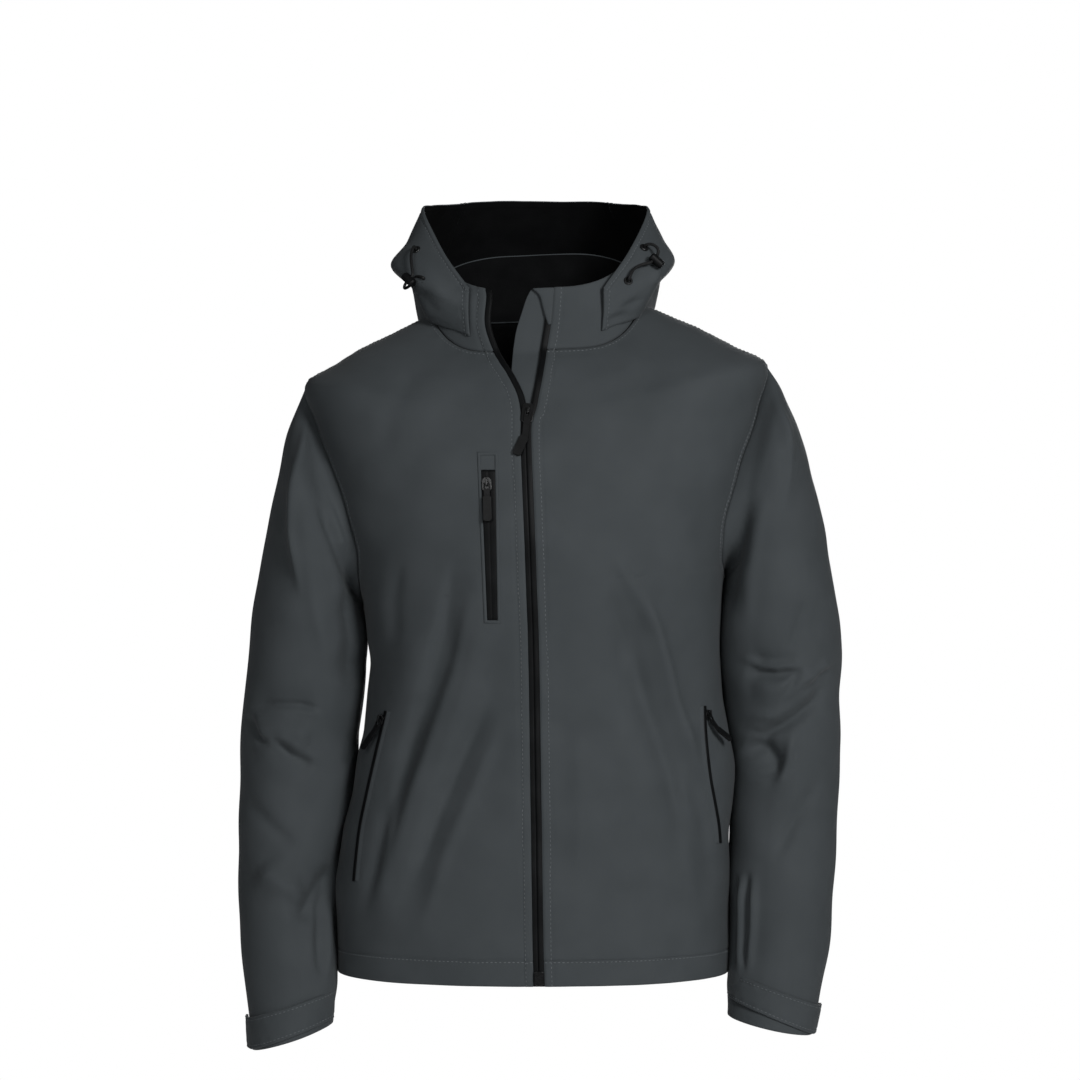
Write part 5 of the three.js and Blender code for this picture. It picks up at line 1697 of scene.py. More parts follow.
@dataclass
class Drawcords:
    """The hood's two drawcord loops, with their eyelets and locks.

    Attributes:
        radius: of the cord.
        sides: of its mesh.
        rings: along its mesh.
        routes: points that each cord passes, as in the part's source.
    """

    radius: float = 1.5
    sides: int = 14
    rings: int = 120
    routes: dict[Side, list[Point]] = field(default_factory=lambda: {
        Side.RIGHT: [
            (-118.9, -19.8, 48.6), (-120.8, -22.7, 51.3), (-123.5, -33.5, 42), (-122.5, -43, 30),
            (-121.6, -47.1, 21.1), (-125.3, -46.2, 16.5), (-129, -45.3, 11.9), (-129.6, -41.7, 8.5),
            (-125.7, -39, 10.4), (-122, -39.8, 15), (-118.5, -41.2, 19.7), (-111.1, -48.1, 18.3),
            (-109.8, -44.4, 16.3),
        ],
        Side.LEFT: [
            (107, -27.8, 49.4), (108.8, -30.7, 52.2), (115, -33.5, 52.5), (120.5, -36, 48),
            (120.1, -38, 41.6), (116.6, -41, 37.8), (113.1, -44, 34), (106, -45.5, 32), (98.5, -48, 28.5),
            (95, -51, 24.5), (91.6, -53.7, 16.7), (90.8, -49.6, 15.2),
        ],
    })

    def path(self, side: Side) -> Array:
        """Close points along a cord's middle line.

        Args:
            side: the hood's side.

        Returns:
            Evenly spaced points on a centripetal curve through the route.
        """
        route = np.array(self.routes[side], float)
        ends = np.concatenate([[2 * route[0] - route[1]], route, [2 * route[-1] - route[-2]]])
        close = []
        for p0, p1, p2, p3 in zip(ends, ends[1:], ends[2:], ends[3:]):
            t0 = 0.0
            t1 = np.linalg.norm(p1 - p0) ** 0.5
            t2 = t1 + np.linalg.norm(p2 - p1) ** 0.5
            t3 = t2 + np.linalg.norm(p3 - p2) ** 0.5
            t = np.linspace(t1, t2, 24, endpoint=False)[:, None]
            a1 = (t1 - t) / (t1 - t0) * p0 + (t - t0) / (t1 - t0) * p1
            a2 = (t2 - t) / (t2 - t1) * p1 + (t - t1) / (t2 - t1) * p2
            a3 = (t3 - t) / (t3 - t2) * p2 + (t - t2) / (t3 - t2) * p3
            b1 = (t2 - t) / (t2 - t0) * a1 + (t - t0) / (t2 - t0) * a2
            b2 = (t3 - t) / (t3 - t1) * a2 + (t - t1) / (t3 - t1) * a3
            close.append((t2 - t) / (t2 - t1) * b1 + (t - t1) / (t2 - t1) * b2)
        return evenly(np.concatenate([*close, route[-1:]]), count=self.rings)[0]

    def cord(self, side: Side) -> None:
        """One cord, as a round tube with its ends closed.

        Args:
            side: the hood's side.
        """
        line = self.path(side)
        tangent = unit(np.gradient(line, axis=0))
        across = np.empty_like(line)
        across[0] = unit(np.cross(tangent[0], (0.3, 0.2, 0.9)))
        for i in range(1, len(line)):
            step = across[i - 1] - tangent[i] * (across[i - 1] @ tangent[i])
            across[i] = step / np.linalg.norm(step)
        up = np.cross(tangent, across)
        turns = np.linspace(0, 2 * math.pi, self.sides, endpoint=False)
        cos, sin = (self.radius * f(turns)[None, :, None] for f in (np.cos, np.sin))
        rings = line[:, None] + cos * across[:, None] + sin * up[:, None]
        points = np.concatenate([rings.reshape(-1, 3), line[:1], line[-1:]])
        faces = grid_faces(self.rings, self.sides, True).tolist()
        first, last = len(points) - 2, len(points) - 1
        end = (self.rings - 1) * self.sides
        faces += [(first, (i + 1) % self.sides, i) for i in range(self.sides)]
        faces += [(last, end + i, end + (i + 1) % self.sides) for i in range(self.sides)]
        mesh = bpy.data.meshes.new("cord_" + side.word)
        mesh.from_pydata((points * METRE).tolist(), [], faces)
        gone = distances(line)
        ring_places = np.stack(np.meshgrid(turns * self.radius, gone), -1).reshape(-1, 2) * METRE
        lay_cut_map(mesh, np.concatenate([ring_places, np.zeros((2, 2))]))
        turn_out(mesh)
        mesh.materials.append(FINISHES.material(BRAID))
        round_off(mesh)
        piece = settle(placed("cord_" + side.word, mesh), Slot.CORD, ["drawcord_" + side.word])
        length = float(gone[-1]) * METRE
        path = (line * METRE).tolist()
        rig.cord(
            piece, exit=path[0], length=length, diameter=2 * self.radius * METRE, far_end="object",
            stiffness="limp", lay="loose", path=path,
        )

    def build(self) -> None:
        """Both cords with their eyelets and locks."""
        for side in Side:
            self.cord(side)
            for place in ("upper", "lower"):
                rounded(f"eyelet_{place}_{side.word}", "ring", 0.25, LACQUER, Slot.METAL)
            rounded("cord_lock_" + side.word, "barrel", 0.4, MOULDED, Slot.TRIM)


# On hard parts: points merged, in millimetres, then degrees of edges dissolved, kept sharp and softened
SAME_POINT = 0.01
SAME_FACE, KEPT_SHARP, SOFTENED = 1.5, 40.0, 35.0


def turn_out(mesh: bpy.types.Mesh) -> None:
    """Turns a closed mesh's faces outward."""
    shape = bmesh.new()
    shape.from_mesh(mesh)
    bmesh.ops.recalc_face_normals(shape, faces=shape.faces)
    shape.to_mesh(mesh)
    shape.free()


def rounded(
    node: str, word: str, radius: float, finish: Finish, slot: Slot, body: str = "jacket"
) -> bpy.types.Object:
    """A hard part with softened edges, which stands for its node.

    Args:
        node: the node that gives its shape.
        word: added to the node's name for the piece's name.
        radius: of the softened edges, in millimetres.
        finish: its finish.
        slot: its material slot in the record.
        body: the body that it rides on.

    Returns:
        The piece.
    """
    shape = bmesh.new()
    shape.from_mesh(frame["nodes"][node].data)
    bmesh.ops.remove_doubles(shape, verts=shape.verts, dist=SAME_POINT * METRE)
    bmesh.ops.dissolve_limit(shape, angle_limit=math.radians(SAME_FACE), verts=shape.verts, edges=shape.edges)
    bmesh.ops.recalc_face_normals(shape, faces=shape.faces)
    name = f"{node}_{word}"
    mesh = bpy.data.meshes.new(name)
    shape.to_mesh(mesh)
    shape.free()
    if "custom_normal" in mesh.attributes:
        mesh.attributes.remove(mesh.attributes["custom_normal"])
    mesh.materials.clear()
    mesh.materials.append(FINISHES.material(finish))
    mesh.polygons.foreach_set("material_index", np.zeros(len(mesh.polygons), np.int32))
    round_off(mesh)
    mesh.set_sharp_from_angle(angle=math.radians(KEPT_SHARP))
    piece = placed(name, mesh)
    bevel = piece.modifiers.new("softened", "BEVEL")
    bevel.width = radius * METRE
    bevel.segments = 3
    bevel.limit_method = "ANGLE"
    bevel.angle_limit = math.radians(SOFTENED)
    return settle(piece, slot, [node], body)


@dataclass
class BodyShell:
    """Both fronts and the back, from one set of levels.

    Attributes:
        front_width: mean width of a front along its rows.
        back_width: mean width of the back.
        armhole_steps: grid steps round half an armhole.
        side_seam: mean height of the side seam.
        panels: the fronts, once they are made.
    """

    front_width: float = 262.0
    back_width: float = 520.0
    armhole_steps: int = 80
    side_seam: float = 386.0
    panels: dict[Side, Panel] = field(default_factory=dict)

    def levels(self, side: Side) -> tuple[Array, Array]:
        """Heights of the grid's rows at one side, and the place of each on the armhole.

        Args:
            side: right or left.

        Returns:
            Heights, and turns on the armhole with nan below and above it.
        """
        low = ARMPIT_HEIGHT[side]
        seam = run(self.side_seam, PITCH, HEM_MARKS) / self.side_seam * low
        turns = np.linspace(math.pi, 0, self.armhole_steps)
        shoulder = SHOULDER_HEIGHT + run(NECK_HEIGHT - SHOULDER_HEIGHT, 3.0, end=SEAM_MARKS)[1:]
        heights = np.concatenate([seam[:-1], armhole(side, turns)[1], shoulder])
        place = np.concatenate([np.full(len(seam) - 1, np.nan), turns, np.full(len(shoulder), np.nan)])
        return heights, place

    def outer_turn(self, side: Side, heights: Array, turns: Array, behind: bool) -> Array:
        """Turns of a front's or the back's outer edge at each level.

        Args:
            side: right or left.
            heights: of the levels; not used.
            turns: of the levels on the armhole, nan off it.
            behind: whether it is the back's edge.

        Returns:
            The turns round the body.
        """
        on = armhole(side, np.nan_to_num(-turns if behind else turns))[0]
        u = np.where(np.isnan(turns), side.value * math.pi / 2, on)
        return u + 2 * math.pi if behind and side is Side.RIGHT else u

    def parts_of(self, line: Array, turns: Array) -> tuple[Array, Array, Array]:
        """Side seam, armhole and shoulder seam of a panel's outer edge.

        Args:
            line: the edge, from the hem up.
            turns: of its levels on the armhole, nan off it.

        Returns:
            The three lines.
        """
        pit = int(np.argmax(~np.isnan(turns)))
        tip = pit + self.armhole_steps - 1
        return line[: pit + 1], line[pit : tip + 1], line[tip:]

    def front(self, side: Side) -> Panel:
        """One front as a panel.

        Args:
            side: right or left.

        Returns:
            The panel, with its edges pressed.
        """
        heights, turns = self.levels(side)
        inner = BODY.turn(front_edge(side, heights), heights)
        outer = self.outer_turn(side, heights, turns, False)
        shares = run(self.front_width, PITCH, ZIP_MARKS, SEAM_MARKS) / self.front_width
        u = between(inner, outer, shares)
        points, normals = BODY.grid(u, np.repeat(heights[:, None], len(shares), 1))
        panel = Panel("front_cloth_" + side.word, points, normals)
        below, armhole_line, shoulder = self.parts_of(points[:, -1], turns)
        panel.edges = [
            Edge(points[0], dip=0.35, rows=(24.0,)),
            Edge(points[:, 0], dip=0.5, rows=(8.0,), raised=0.3),
            Edge(below),
            Edge(armhole_line, dip=0.5, rows=(1.9, 7.0), raised=0.75),
            Edge(shoulder, rows=(6.0,), raised=0.35),
            Edge(points[-1], dip=1.0, rows=(6.2,), raised=0.4),
        ]
        panel.press_edges()
        return panel

    def back(self) -> Panel:
        """The back as a panel."""
        levels = {side: self.levels(side) for side in Side}
        ends = {side: self.outer_turn(side, *levels[side], True) for side in Side}
        shares = run(self.back_width, PITCH, SEAM_MARKS, SEAM_MARKS) / self.back_width
        u = between(ends[Side.LEFT], ends[Side.RIGHT], shares)
        points, normals = BODY.grid(u, between(levels[Side.LEFT][0], levels[Side.RIGHT][0], shares))
        panel = Panel("back_cloth", points, normals)
        panel.edges = [
            Edge(points[0], dip=0.35, rows=(24.0,)),
            Edge(points[-1], dip=1.0, rows=(6.2,), raised=0.4),
        ]
        for line in (points[:, 0], points[:, -1]):
            below, armhole_line, shoulder = self.parts_of(line, levels[Side.LEFT][1])
            panel.edges += [
                Edge(below), Edge(armhole_line, dip=0.5, rows=(1.9, 7.0), raised=0.35), Edge(shoulder),
            ]
        panel.press_edges()
        return panel

    def build(self) -> None:
        """All three panels, with their stitching."""
        for side in Side:
            panel = self.panels[side] = self.front(side)
            piece = settle(panel.build(), Slot.CLOTH, ["front_" + side.word])
            sewn = stitch("front_stitches_" + side.word, panel.sewn_lines())
            declare(piece, (0.29, 0.72), 0.78, [sewn])
        panel = self.back()
        piece = settle(panel.build(), Slot.CLOTH, ["back"])
        declare(piece, (0.57, 0.70), 0.82, [stitch("back_stitches", panel.sewn_lines())])


@dataclass
class StandCollar:
    """The stand collar.

    Attributes:
        around: mean length round it.
        top_marks: distances of grid lines from its top edge.
    """

    around: float = 560.0
    top_marks: tuple[float, ...] = (0.0, 0.6, 1.4, 2.6, 4.2)

    def build(self) -> None:
        """The collar with its stitching."""
        shares = run(COLLAR_HEIGHT, 3.4, SEAM_MARKS[:8], self.top_marks) / COLLAR_HEIGHT
        rises = NECK_HEIGHT + shares * COLLAR_HEIGHT
        start = COLLAR.turn(front_edge(Side.RIGHT, rises), shares)
        end = COLLAR.turn(front_edge(Side.LEFT, rises), shares) - 2 * math.pi
        places = run(self.around, 3.6, ZIP_MARKS, ZIP_MARKS) / self.around
        u = between(start, end, places)
        points, normals = COLLAR.grid(u, np.repeat(shares[:, None], len(places), 1))
        panel = Panel("collar_cloth", points, normals, COLLAR_WALL)
        panel.edges = [
            Edge(points[0], dip=1.0),
            Edge(points[-1], dip=0.2),
            Edge(points[:, 0], dip=0.4, rows=(8.0,), raised=0.3),
            Edge(points[:, -1], dip=0.4, rows=(8.0,), raised=0.3),
        ]
        panel.press_edges()
        piece = settle(panel.build(), Slot.CLOTH, ["collar"])
        declare(piece, (0.545, 0.064), 0.84, [stitch("collar_stitches", panel.sewn_lines())])


@dataclass
class Hood:
    """The hood's two sides and centre strip.

    Attributes:
        side_width: length of a side's rows.
        centre_width: length of the centre strip's rows.
        depth: mean length from its seam to its rim.
        rim_marks: distances of grid lines from its rim.
    """

    side_width: float = 170.0
    centre_width: float = 150.0
    depth: float = 290.0
    rim_marks: tuple[float, ...] = (0.0, 0.6, 1.4, 2.6, 3.7, 4.5, 5.3, 6.4, 8.0)

    def part(
        self, name: str, node: str, start: float, end: float, width: float, flat: Spot, share: float
    ) -> None:
        """One part of the hood with its stitching.

        Args:
            name: the piece's name.
            node: the node that it replaces.
            start: share of the way round at which it starts.
            end: share at which it ends.
            width: mean length of its rows.
            flat: width and length of its cut, in metres.
            share: share of that rectangle that the cut fills.
        """
        rises = run(self.depth, 3.2, SEAM_MARKS[:6], self.rim_marks) / self.depth
        places = run(width, 3.0, SEAM_MARKS, SEAM_MARKS) / width
        a = np.repeat((start + (end - start) * places)[None], len(rises), 0)
        points, normals = HOOD.grid(a, np.repeat(rises[:, None], len(places), 1))
        panel = Panel(name, points, normals)
        panel.edges = [Edge(points[0], dip=0.8), Edge(points[-1], dip=0.3, rows=(4.5,), raised=0.3)]
        for line, share_round in ((points[:, 0], start), (points[:, -1], end)):
            free = abs(share_round) == 1
            panel.edges.append(Edge(line, dip=0.3 if free else 1.0, rows=(5.8,), raised=0.3))
        panel.press_edges()
        piece = settle(panel.build(), Slot.CLOTH, [node])
        declare(piece, flat, share, [stitch(name + "_stitches", panel.sewn_lines())])

    def build(self) -> None:
        """All three parts."""
        self.part("hood_side_right", "hood_right", -1, -HOOD_SEAM, self.side_width, (0.25, 0.31), 0.46)
        self.part("hood_strip", "hood_centre", -HOOD_SEAM, HOOD_SEAM, self.centre_width, (0.21, 0.47), 0.916)
        self.part("hood_side_left", "hood_left", HOOD_SEAM, 1, self.side_width, (0.25, 0.31), 0.46)


@dataclass(frozen=True)
class CuffStrap:
    """Where a cuff's strap runs, in shares down the sleeve and degrees round it.

    Attributes:
        top_in: its upper edge at the sleeve's inner side.
        top_out: its upper edge at the outer side.
        bottom_in: its lower edge at the inner side.
        bottom_out: its lower edge at the outer side.
        start: where it is sewn on.
        end: its loose end.
    """

    top_in: float
    top_out: float
    bottom_in: float
    bottom_out: float
    start: float = 168.0
    end: float = -16.0


@dataclass
class SleeveMaker:
    """Both sleeves with their cuff straps.

    Attributes:
        length: mean length of a sleeve.
        pitch: grid step along it.
        around: grid steps round it.
        rest: of the strap over the sleeve.
        strap_wall: thickness of the strap.
        lift: how far the strap's loose end stands off.
        lift_span: degrees over which it lifts.
        allowance: cloth of the sleeve turned in at the armhole seam.
        hem_marks: distances of grid lines from the cuff's edge.
        strap_marks: shares across a strap of its grid lines.
        straps: where each cuff's strap runs.
    """

    length: float = 640.0
    pitch: float = 3.0
    around: int = 150
    rest: float = 0.6
    strap_wall: float = 2.0
    lift: float = 4.0
    lift_span: float = 26.0
    allowance: float = 1.8
    hem_marks: tuple[float, ...] = (0.0, 0.6, 1.4, 2.8, 5.0, 8.0, 11.0, 14.0, 17.0, 19.0, 20.0, 21.0)
    strap_marks: tuple[float, ...] = (
        0.0, 0.03, 0.07, 0.12, 0.2, 0.32, 0.44, 0.56, 0.68, 0.8, 0.88, 0.93, 0.97, 1.0,
    )
    straps: dict[Side, CuffStrap] = field(default_factory=lambda: {
        Side.RIGHT: CuffStrap(0.949, 0.962, 0.99, 0.999),
        Side.LEFT: CuffStrap(0.926, 0.962, 0.968, 0.999),
    })

    def sleeve(self, side: Side) -> None:
        """One sleeve with its stitching.

        Args:
            side: right or left.
        """
        along = run(self.length, self.pitch, SEAM_MARKS, self.hem_marks) / self.length
        turns = np.linspace(-math.pi, math.pi, self.around, endpoint=False)
        points, normals = SLEEVES[side].grid(*np.meshgrid(turns, along), tube=True)
        panel = Panel("sleeve_cloth_" + side.word, points, normals, tube=True)
        panel.edges = [Edge(closed(points[0]), dip=0.45), Edge(closed(points[-1]), dip=0.3, rows=(20.0,))]
        panel.press_edges()
        self.tuck(panel, BODY.normal(*armhole(side, turns)))
        piece = settle(panel.build(), Slot.CLOTH, ["sleeve_" + side.word])
        declare(piece, (0.50, 0.69), 0.62, [stitch("sleeve_stitches_" + side.word, panel.sewn_lines())])

    def tuck(self, panel: Panel, out: Array) -> None:
        """Carries a sleeve's upper edge on under the body as a seam allowance.

        Args:
            panel: the sleeve.
            out: the body's outward normals round the armhole.
        """
        first = panel.points[0]
        under = first + unit(first - panel.points[3]) * self.allowance - out * self.allowance * 0.55
        panel.points = np.concatenate([under[None], panel.points])
        panel.normals = np.concatenate([panel.normals[:1], panel.normals])
        panel.bvh = panel.surface()

    def strap(self, side: Side) -> None:
        """One cuff strap with its stitching.

        Args:
            side: right or left.
        """
        strap, form = self.straps[side], SleeveForm(side, "strap")
        degrees = np.linspace(strap.start, strap.end, 120)
        inward = smooth(degrees, 0, 180)
        top = strap.top_out + (strap.top_in - strap.top_out) * inward
        bottom = strap.bottom_out + (strap.bottom_in - strap.bottom_out) * inward
        along = between(top, bottom, np.array(self.strap_marks))
        base, normal = form.face(np.repeat(np.radians(degrees)[:, None], along.shape[1], 1), along)
        loose = smooth(strap.end + self.lift_span - degrees, 0, self.lift_span)
        inner = base + normal * (self.rest + self.lift * loose)[:, None, None]
        outer = inner + normal * self.strap_wall
        panel = Panel("strap_cloth_" + side.word, outer, normal, self.strap_wall, inside=SHELL)
        panel.edges = [
            Edge(line, dip=0.25, rows=(2.6,), raised=0.15) for line in (outer[:, 0], outer[:, -1], outer[-1])
        ]
        panel.press_edges()
        piece = settle(panel.build(), Slot.CLOTH, ["cuff_strap_" + side.word])
        declare(piece, (0.175, 0.032), 0.86, [stitch("strap_stitches_" + side.word, panel.sewn_lines())])

    def build(self) -> None:
        """Both sleeves and straps."""
        for side in Side:
            self.sleeve(side)
            self.strap(side)


@dataclass
class FrontZip:
    """The front zip's tapes, teeth, slider, pull and box, the flap behind it and the guard over its top.

    Attributes:
        tape_wall: thickness of the tapes.
        tape_marks: shares across a tape, and how far its face stands off the front there.
        teeth_from: rise at which the slider has parted the teeth.
        flap_wall: thickness of the flap.
        flap_depth: of its inner face under the front.
        flap_sewn: x of its sewn edge.
        flap_length: mean width of its rows.
        flap: rise and x of its free edge.
        guard_wall: thickness of the guard.
        guard_lifts: how far its face stands off the front, across it.
        guard: rise and x of its free edge.
    """

    tape_wall: float = 1.2
    tape_marks: tuple[Spot, ...] = (
        (0.0, -1.9), (0.22, -1.5), (0.32, -0.9), (0.45, -0.55), (0.58, -0.5), (0.7, -0.35), (0.82, -0.3),
        (0.92, -0.5), (1.0, -1.0),
    )
    teeth_from: float = 606.0
    flap_wall: float = 1.2
    flap_depth: float = 4.4
    flap_sewn: float = 26.0
    flap_length: float = 46.0
    guard_wall: float = 1.4
    guard_lifts: tuple[float, ...] = (0.7, 1.0, 1.15, 1.2, 1.2, 1.2, 1.15, 1.05, 0.8)
    flap: Array = field(default_factory=lambda: np.array([
        (14, -20), (640, -24), (650, -23.5), (659, -22.5), (680, -19), (700, -13), (712, -9), (720, -5),
    ], float))
    guard: Array = field(default_factory=lambda: np.array([
        (684, 12), (692, 9.5), (704, 6.5), (714, 3.5), (720.5, -3),
    ], float))

    def strip(
        self, name: str, rises: Array, start: Array, end: Array, places: Array, lift: Array, wall: float,
        finish: Finish,
    ) -> tuple[bpy.types.Object, Array]:
        """A strip of the front, lifted off the cloth.

        Args:
            name: the piece's name.
            rises: where its rows are.
            start: x at which each row starts.
            end: x at which each row ends.
            places: shares across it.
            lift: of the outer face at each share.
            wall: thickness.
            finish: its finish.

        Returns:
            The object, and the points of its outer face.
        """
        base, normal = STRIP.face(between(start, end, places), np.repeat(rises[:, None], len(places), 1))
        outer = base + normal * lift[None, :, None]
        return shell_object(name, outer, outer - normal * wall, False, finish, finish), outer

    def tape(self, side: Side) -> None:
        """One tape of the front zip with its teeth.

        Args:
            side: right or left.
        """
        top = NECK_HEIGHT + COLLAR_HEIGHT
        rises = np.linspace(0, top - 1, 230)
        edge = front_edge(side, rises)
        middle = (front_edge(Side.RIGHT, rises) + front_edge(Side.LEFT, rises)) / 2
        gap = np.abs(edge - middle)
        inner = edge - side.value * np.minimum(TAPE_WIDTH, gap - 0.1)
        start = edge + side.value * 2.0
        places, lift = np.array(self.tape_marks).T
        name = "tape_" + side.word
        piece, outer = self.strip(name, rises, start, inner, places, lift, self.tape_wall, TAPE)
        settle(piece, Slot.TAPE, ["zip_tape_" + side.word])
        line = outer[rises > self.teeth_from][:, -1]
        teeth = TEETH.lay("teeth_" + side.word, [line], MOULDED, TOOTH_PITCH, TOOTH_LENGTH, TOOTH_WIDTH)
        settle(teeth, Slot.TAPE)

    def layers(self) -> None:
        """The flap behind the zip and the guard over its top end."""
        rises = np.concatenate([np.linspace(14, 640, 120), np.linspace(643, 720, 40)])
        free = curve(self.flap[:, 0], self.flap[:, 1], rises)
        sewn = np.full_like(free, self.flap_sewn)
        places = run(self.flap_length, 2.6, (0.0, 0.5, 1.2, 2.2, 3.4, 5.0)) / self.flap_length
        lift = np.full(len(places), -self.flap_depth + self.flap_wall)
        piece, _ = self.strip("flap_cloth", rises, free, sewn, places, lift, self.flap_wall, SHELL)
        settle(piece, Slot.CLOTH, ["storm_flap"])
        declare(piece, (0.052, 0.71), 0.92)
        rises = np.linspace(684, 720.5, 26)
        free = curve(self.guard[:, 0], self.guard[:, 1], rises)
        sewn = front_edge(Side.LEFT, rises) - 0.3
        lift = np.array(self.guard_lifts)
        places = np.linspace(0, 1, len(lift))
        piece, _ = self.strip("guard_cloth", rises, free, sewn, places, lift, self.guard_wall, SHELL)
        settle(piece, Slot.CLOTH, ["chin_guard"])
        declare(piece, (0.022, 0.04), 0.5)

    def build(self) -> None:
        """The whole zip."""
        for side in Side:
            self.tape(side)
        self.layers()
        rounded("zip_slider", "cast", 0.35, LACQUER, Slot.TRIM)
        rounded("zip_pull", "tab", 0.5, MOULDED, Slot.TRIM, "zip_pull_tab")
        rounded("zip_box", "cast", 0.3, LACQUER, Slot.TRIM)


@dataclass
class LaidTrim:
    """Trims laid on a front where lines of the elevation fall on it.

    Attributes:
        panel: the front.
    """

    panel: Panel

    def seen(self, spots: Array) -> tuple[Array, Array]:
        """Points of the front behind spots of the elevation, and normals there.

        Args:
            spots: (x, z) of each.

        Returns:
            Points and normals.
        """
        eye = Vector((SIGHT_X, -SIGHT_DISTANCE, SIGHT_Z))
        points, normals = [], []
        for x, z in spots:
            hit, normal, *_ = self.panel.bvh.ray_cast(eye, (Vector((x, 0, z)) - eye).normalized())
            points.append(hit)
            normals.append(-normal if normal.y > 0 else normal)
        return np.array(points), np.array(normals)

    def lay(
        self, name: str, spots: Array, lifts: Array, wall: float, finish: Finish, tube: bool = False,
        smoothing: int = 6,
    ) -> bpy.types.Object:
        """A shell laid on the front.

        Args:
            name: the piece's name.
            spots: grid of (x, z).
            lifts: of its outer face, on the same grid or one that spreads over it.
            wall: thickness.
            finish: its finish.
            tube: whether its rows close on themselves.
            smoothing: passes that even out the normals.

        Returns:
            The object.
        """
        shape = (*spots.shape[:2], 3)
        points, normals = (values.reshape(shape) for values in self.seen(spots.reshape(-1, 2)))
        for _ in range(smoothing):
            around = np.roll(normals, 1, 0) + np.roll(normals, -1, 0)
            normals[1:-1] = unit(normals + 0.5 * around)[1:-1]
        outer = points + normals * lifts[..., None]
        return shell_object(name, outer, outer - normals * wall, tube, finish, finish)


@dataclass
class ChestPocket(LaidTrim):
    """The zipped pocket on the right chest.

    Attributes:
        top: its upper corners, as (x, z) of the elevation.
        bottom: its lower corners.
        border: width of the welt round the zip.
        welt_marks: distance from the welt's outer edge of each ring of it, and how far that stands up.
        zip_from: z of the zip's upper end.
        zip_marks: shares across the zip, and how far its face stands up there.
    """

    top: tuple[Spot, Spot] = ((-59, -152), (-38, -152))
    bottom: tuple[Spot, Spot] = ((-52, -323.5), (-35, -323.5))
    border: float = 3.4
    welt_marks: tuple[Spot, ...] = (
        (0.0, 0.0), (0.3, 0.75), (0.8, 1.05), (1.6, 1.1), (2.4, 1.1), (2.9, 0.95), (3.2, 0.6), (3.4, -0.1),
    )
    zip_from: float = -170.0
    zip_marks: tuple[Spot, ...] = (
        (0.0, 0.1), (0.08, 0.45), (0.2, 0.55), (0.34, 0.7), (0.44, 0.55), (0.5, 0.2), (0.56, 0.55),
        (0.66, 0.7), (0.8, 0.55), (0.92, 0.45), (1.0, 0.1),
    )

    def across(self, z: Array) -> tuple[Array, Array]:
        """x of the pocket's two sides at heights."""
        share = (self.top[0][1] - z) / (self.top[0][1] - self.bottom[0][1])
        return tuple(self.top[k][0] + (self.bottom[k][0] - self.top[k][0]) * share for k in (0, 1))

    def ring(self, inset: float, down: Array) -> Array:
        """A ring inside the welt's outer edge.

        Args:
            inset: its distance from the edge.
            down: heights of the points on its two sides, falling.

        Returns:
            (x, z) of its points: down one side, across, up the other and back.
        """
        left, right = self.across(down)
        high, low = down[0], down[-1]
        z = np.clip(down, low + inset, high - inset)
        thirds = np.array([0.33, 0.66])
        foot = np.clip(left[-1] + (right[-1] - left[-1]) * thirds, left[-1] + inset, right[-1] - inset)
        head = np.clip(left[0] + (right[0] - left[0]) * thirds[::-1], left[0] + inset, right[0] - inset)
        return np.concatenate([
            np.stack([left + inset, z], 1),
            np.stack([foot, np.full(2, low + inset)], 1),
            np.stack([right - inset, z], 1)[::-1],
            np.stack([head, np.full(2, high - inset)], 1),
        ])

    def build(self) -> None:
        """The welt, the zip and its hardware."""
        high, low = self.top[0][1], self.bottom[0][1]
        down = np.linspace(high, low, 60)
        insets, lifts = np.array(self.welt_marks).T
        spots = np.array([self.ring(inset, down) for inset in insets])
        welt = self.lay("chest_welt_cloth", spots, lifts[:, None], 0.9, SHELL, True, 0)
        settle(welt, Slot.CLOTH, ["chest_welt"])
        declare(welt, (0.021, 0.172), 0.55)
        z = np.linspace(self.zip_from, low + self.border, 60)
        left, right = self.across(z)
        places, lifts = np.array(self.zip_marks).T
        x = between(left + self.border - 0.3, right - self.border + 0.3, places)
        spots = np.stack([x, np.repeat(z[:, None], len(places), 1)], -1)
        tape = self.lay("chest_tape", spots, lifts[None], 0.8, TAPE)
        settle(tape, Slot.TAPE, ["chest_zip"])
        rounded("chest_slider", "cast", 0.3, LACQUER, Slot.TRIM)
        rounded("chest_pull", "tab", 0.5, MOULDED, Slot.TRIM, "chest_pull_tab")


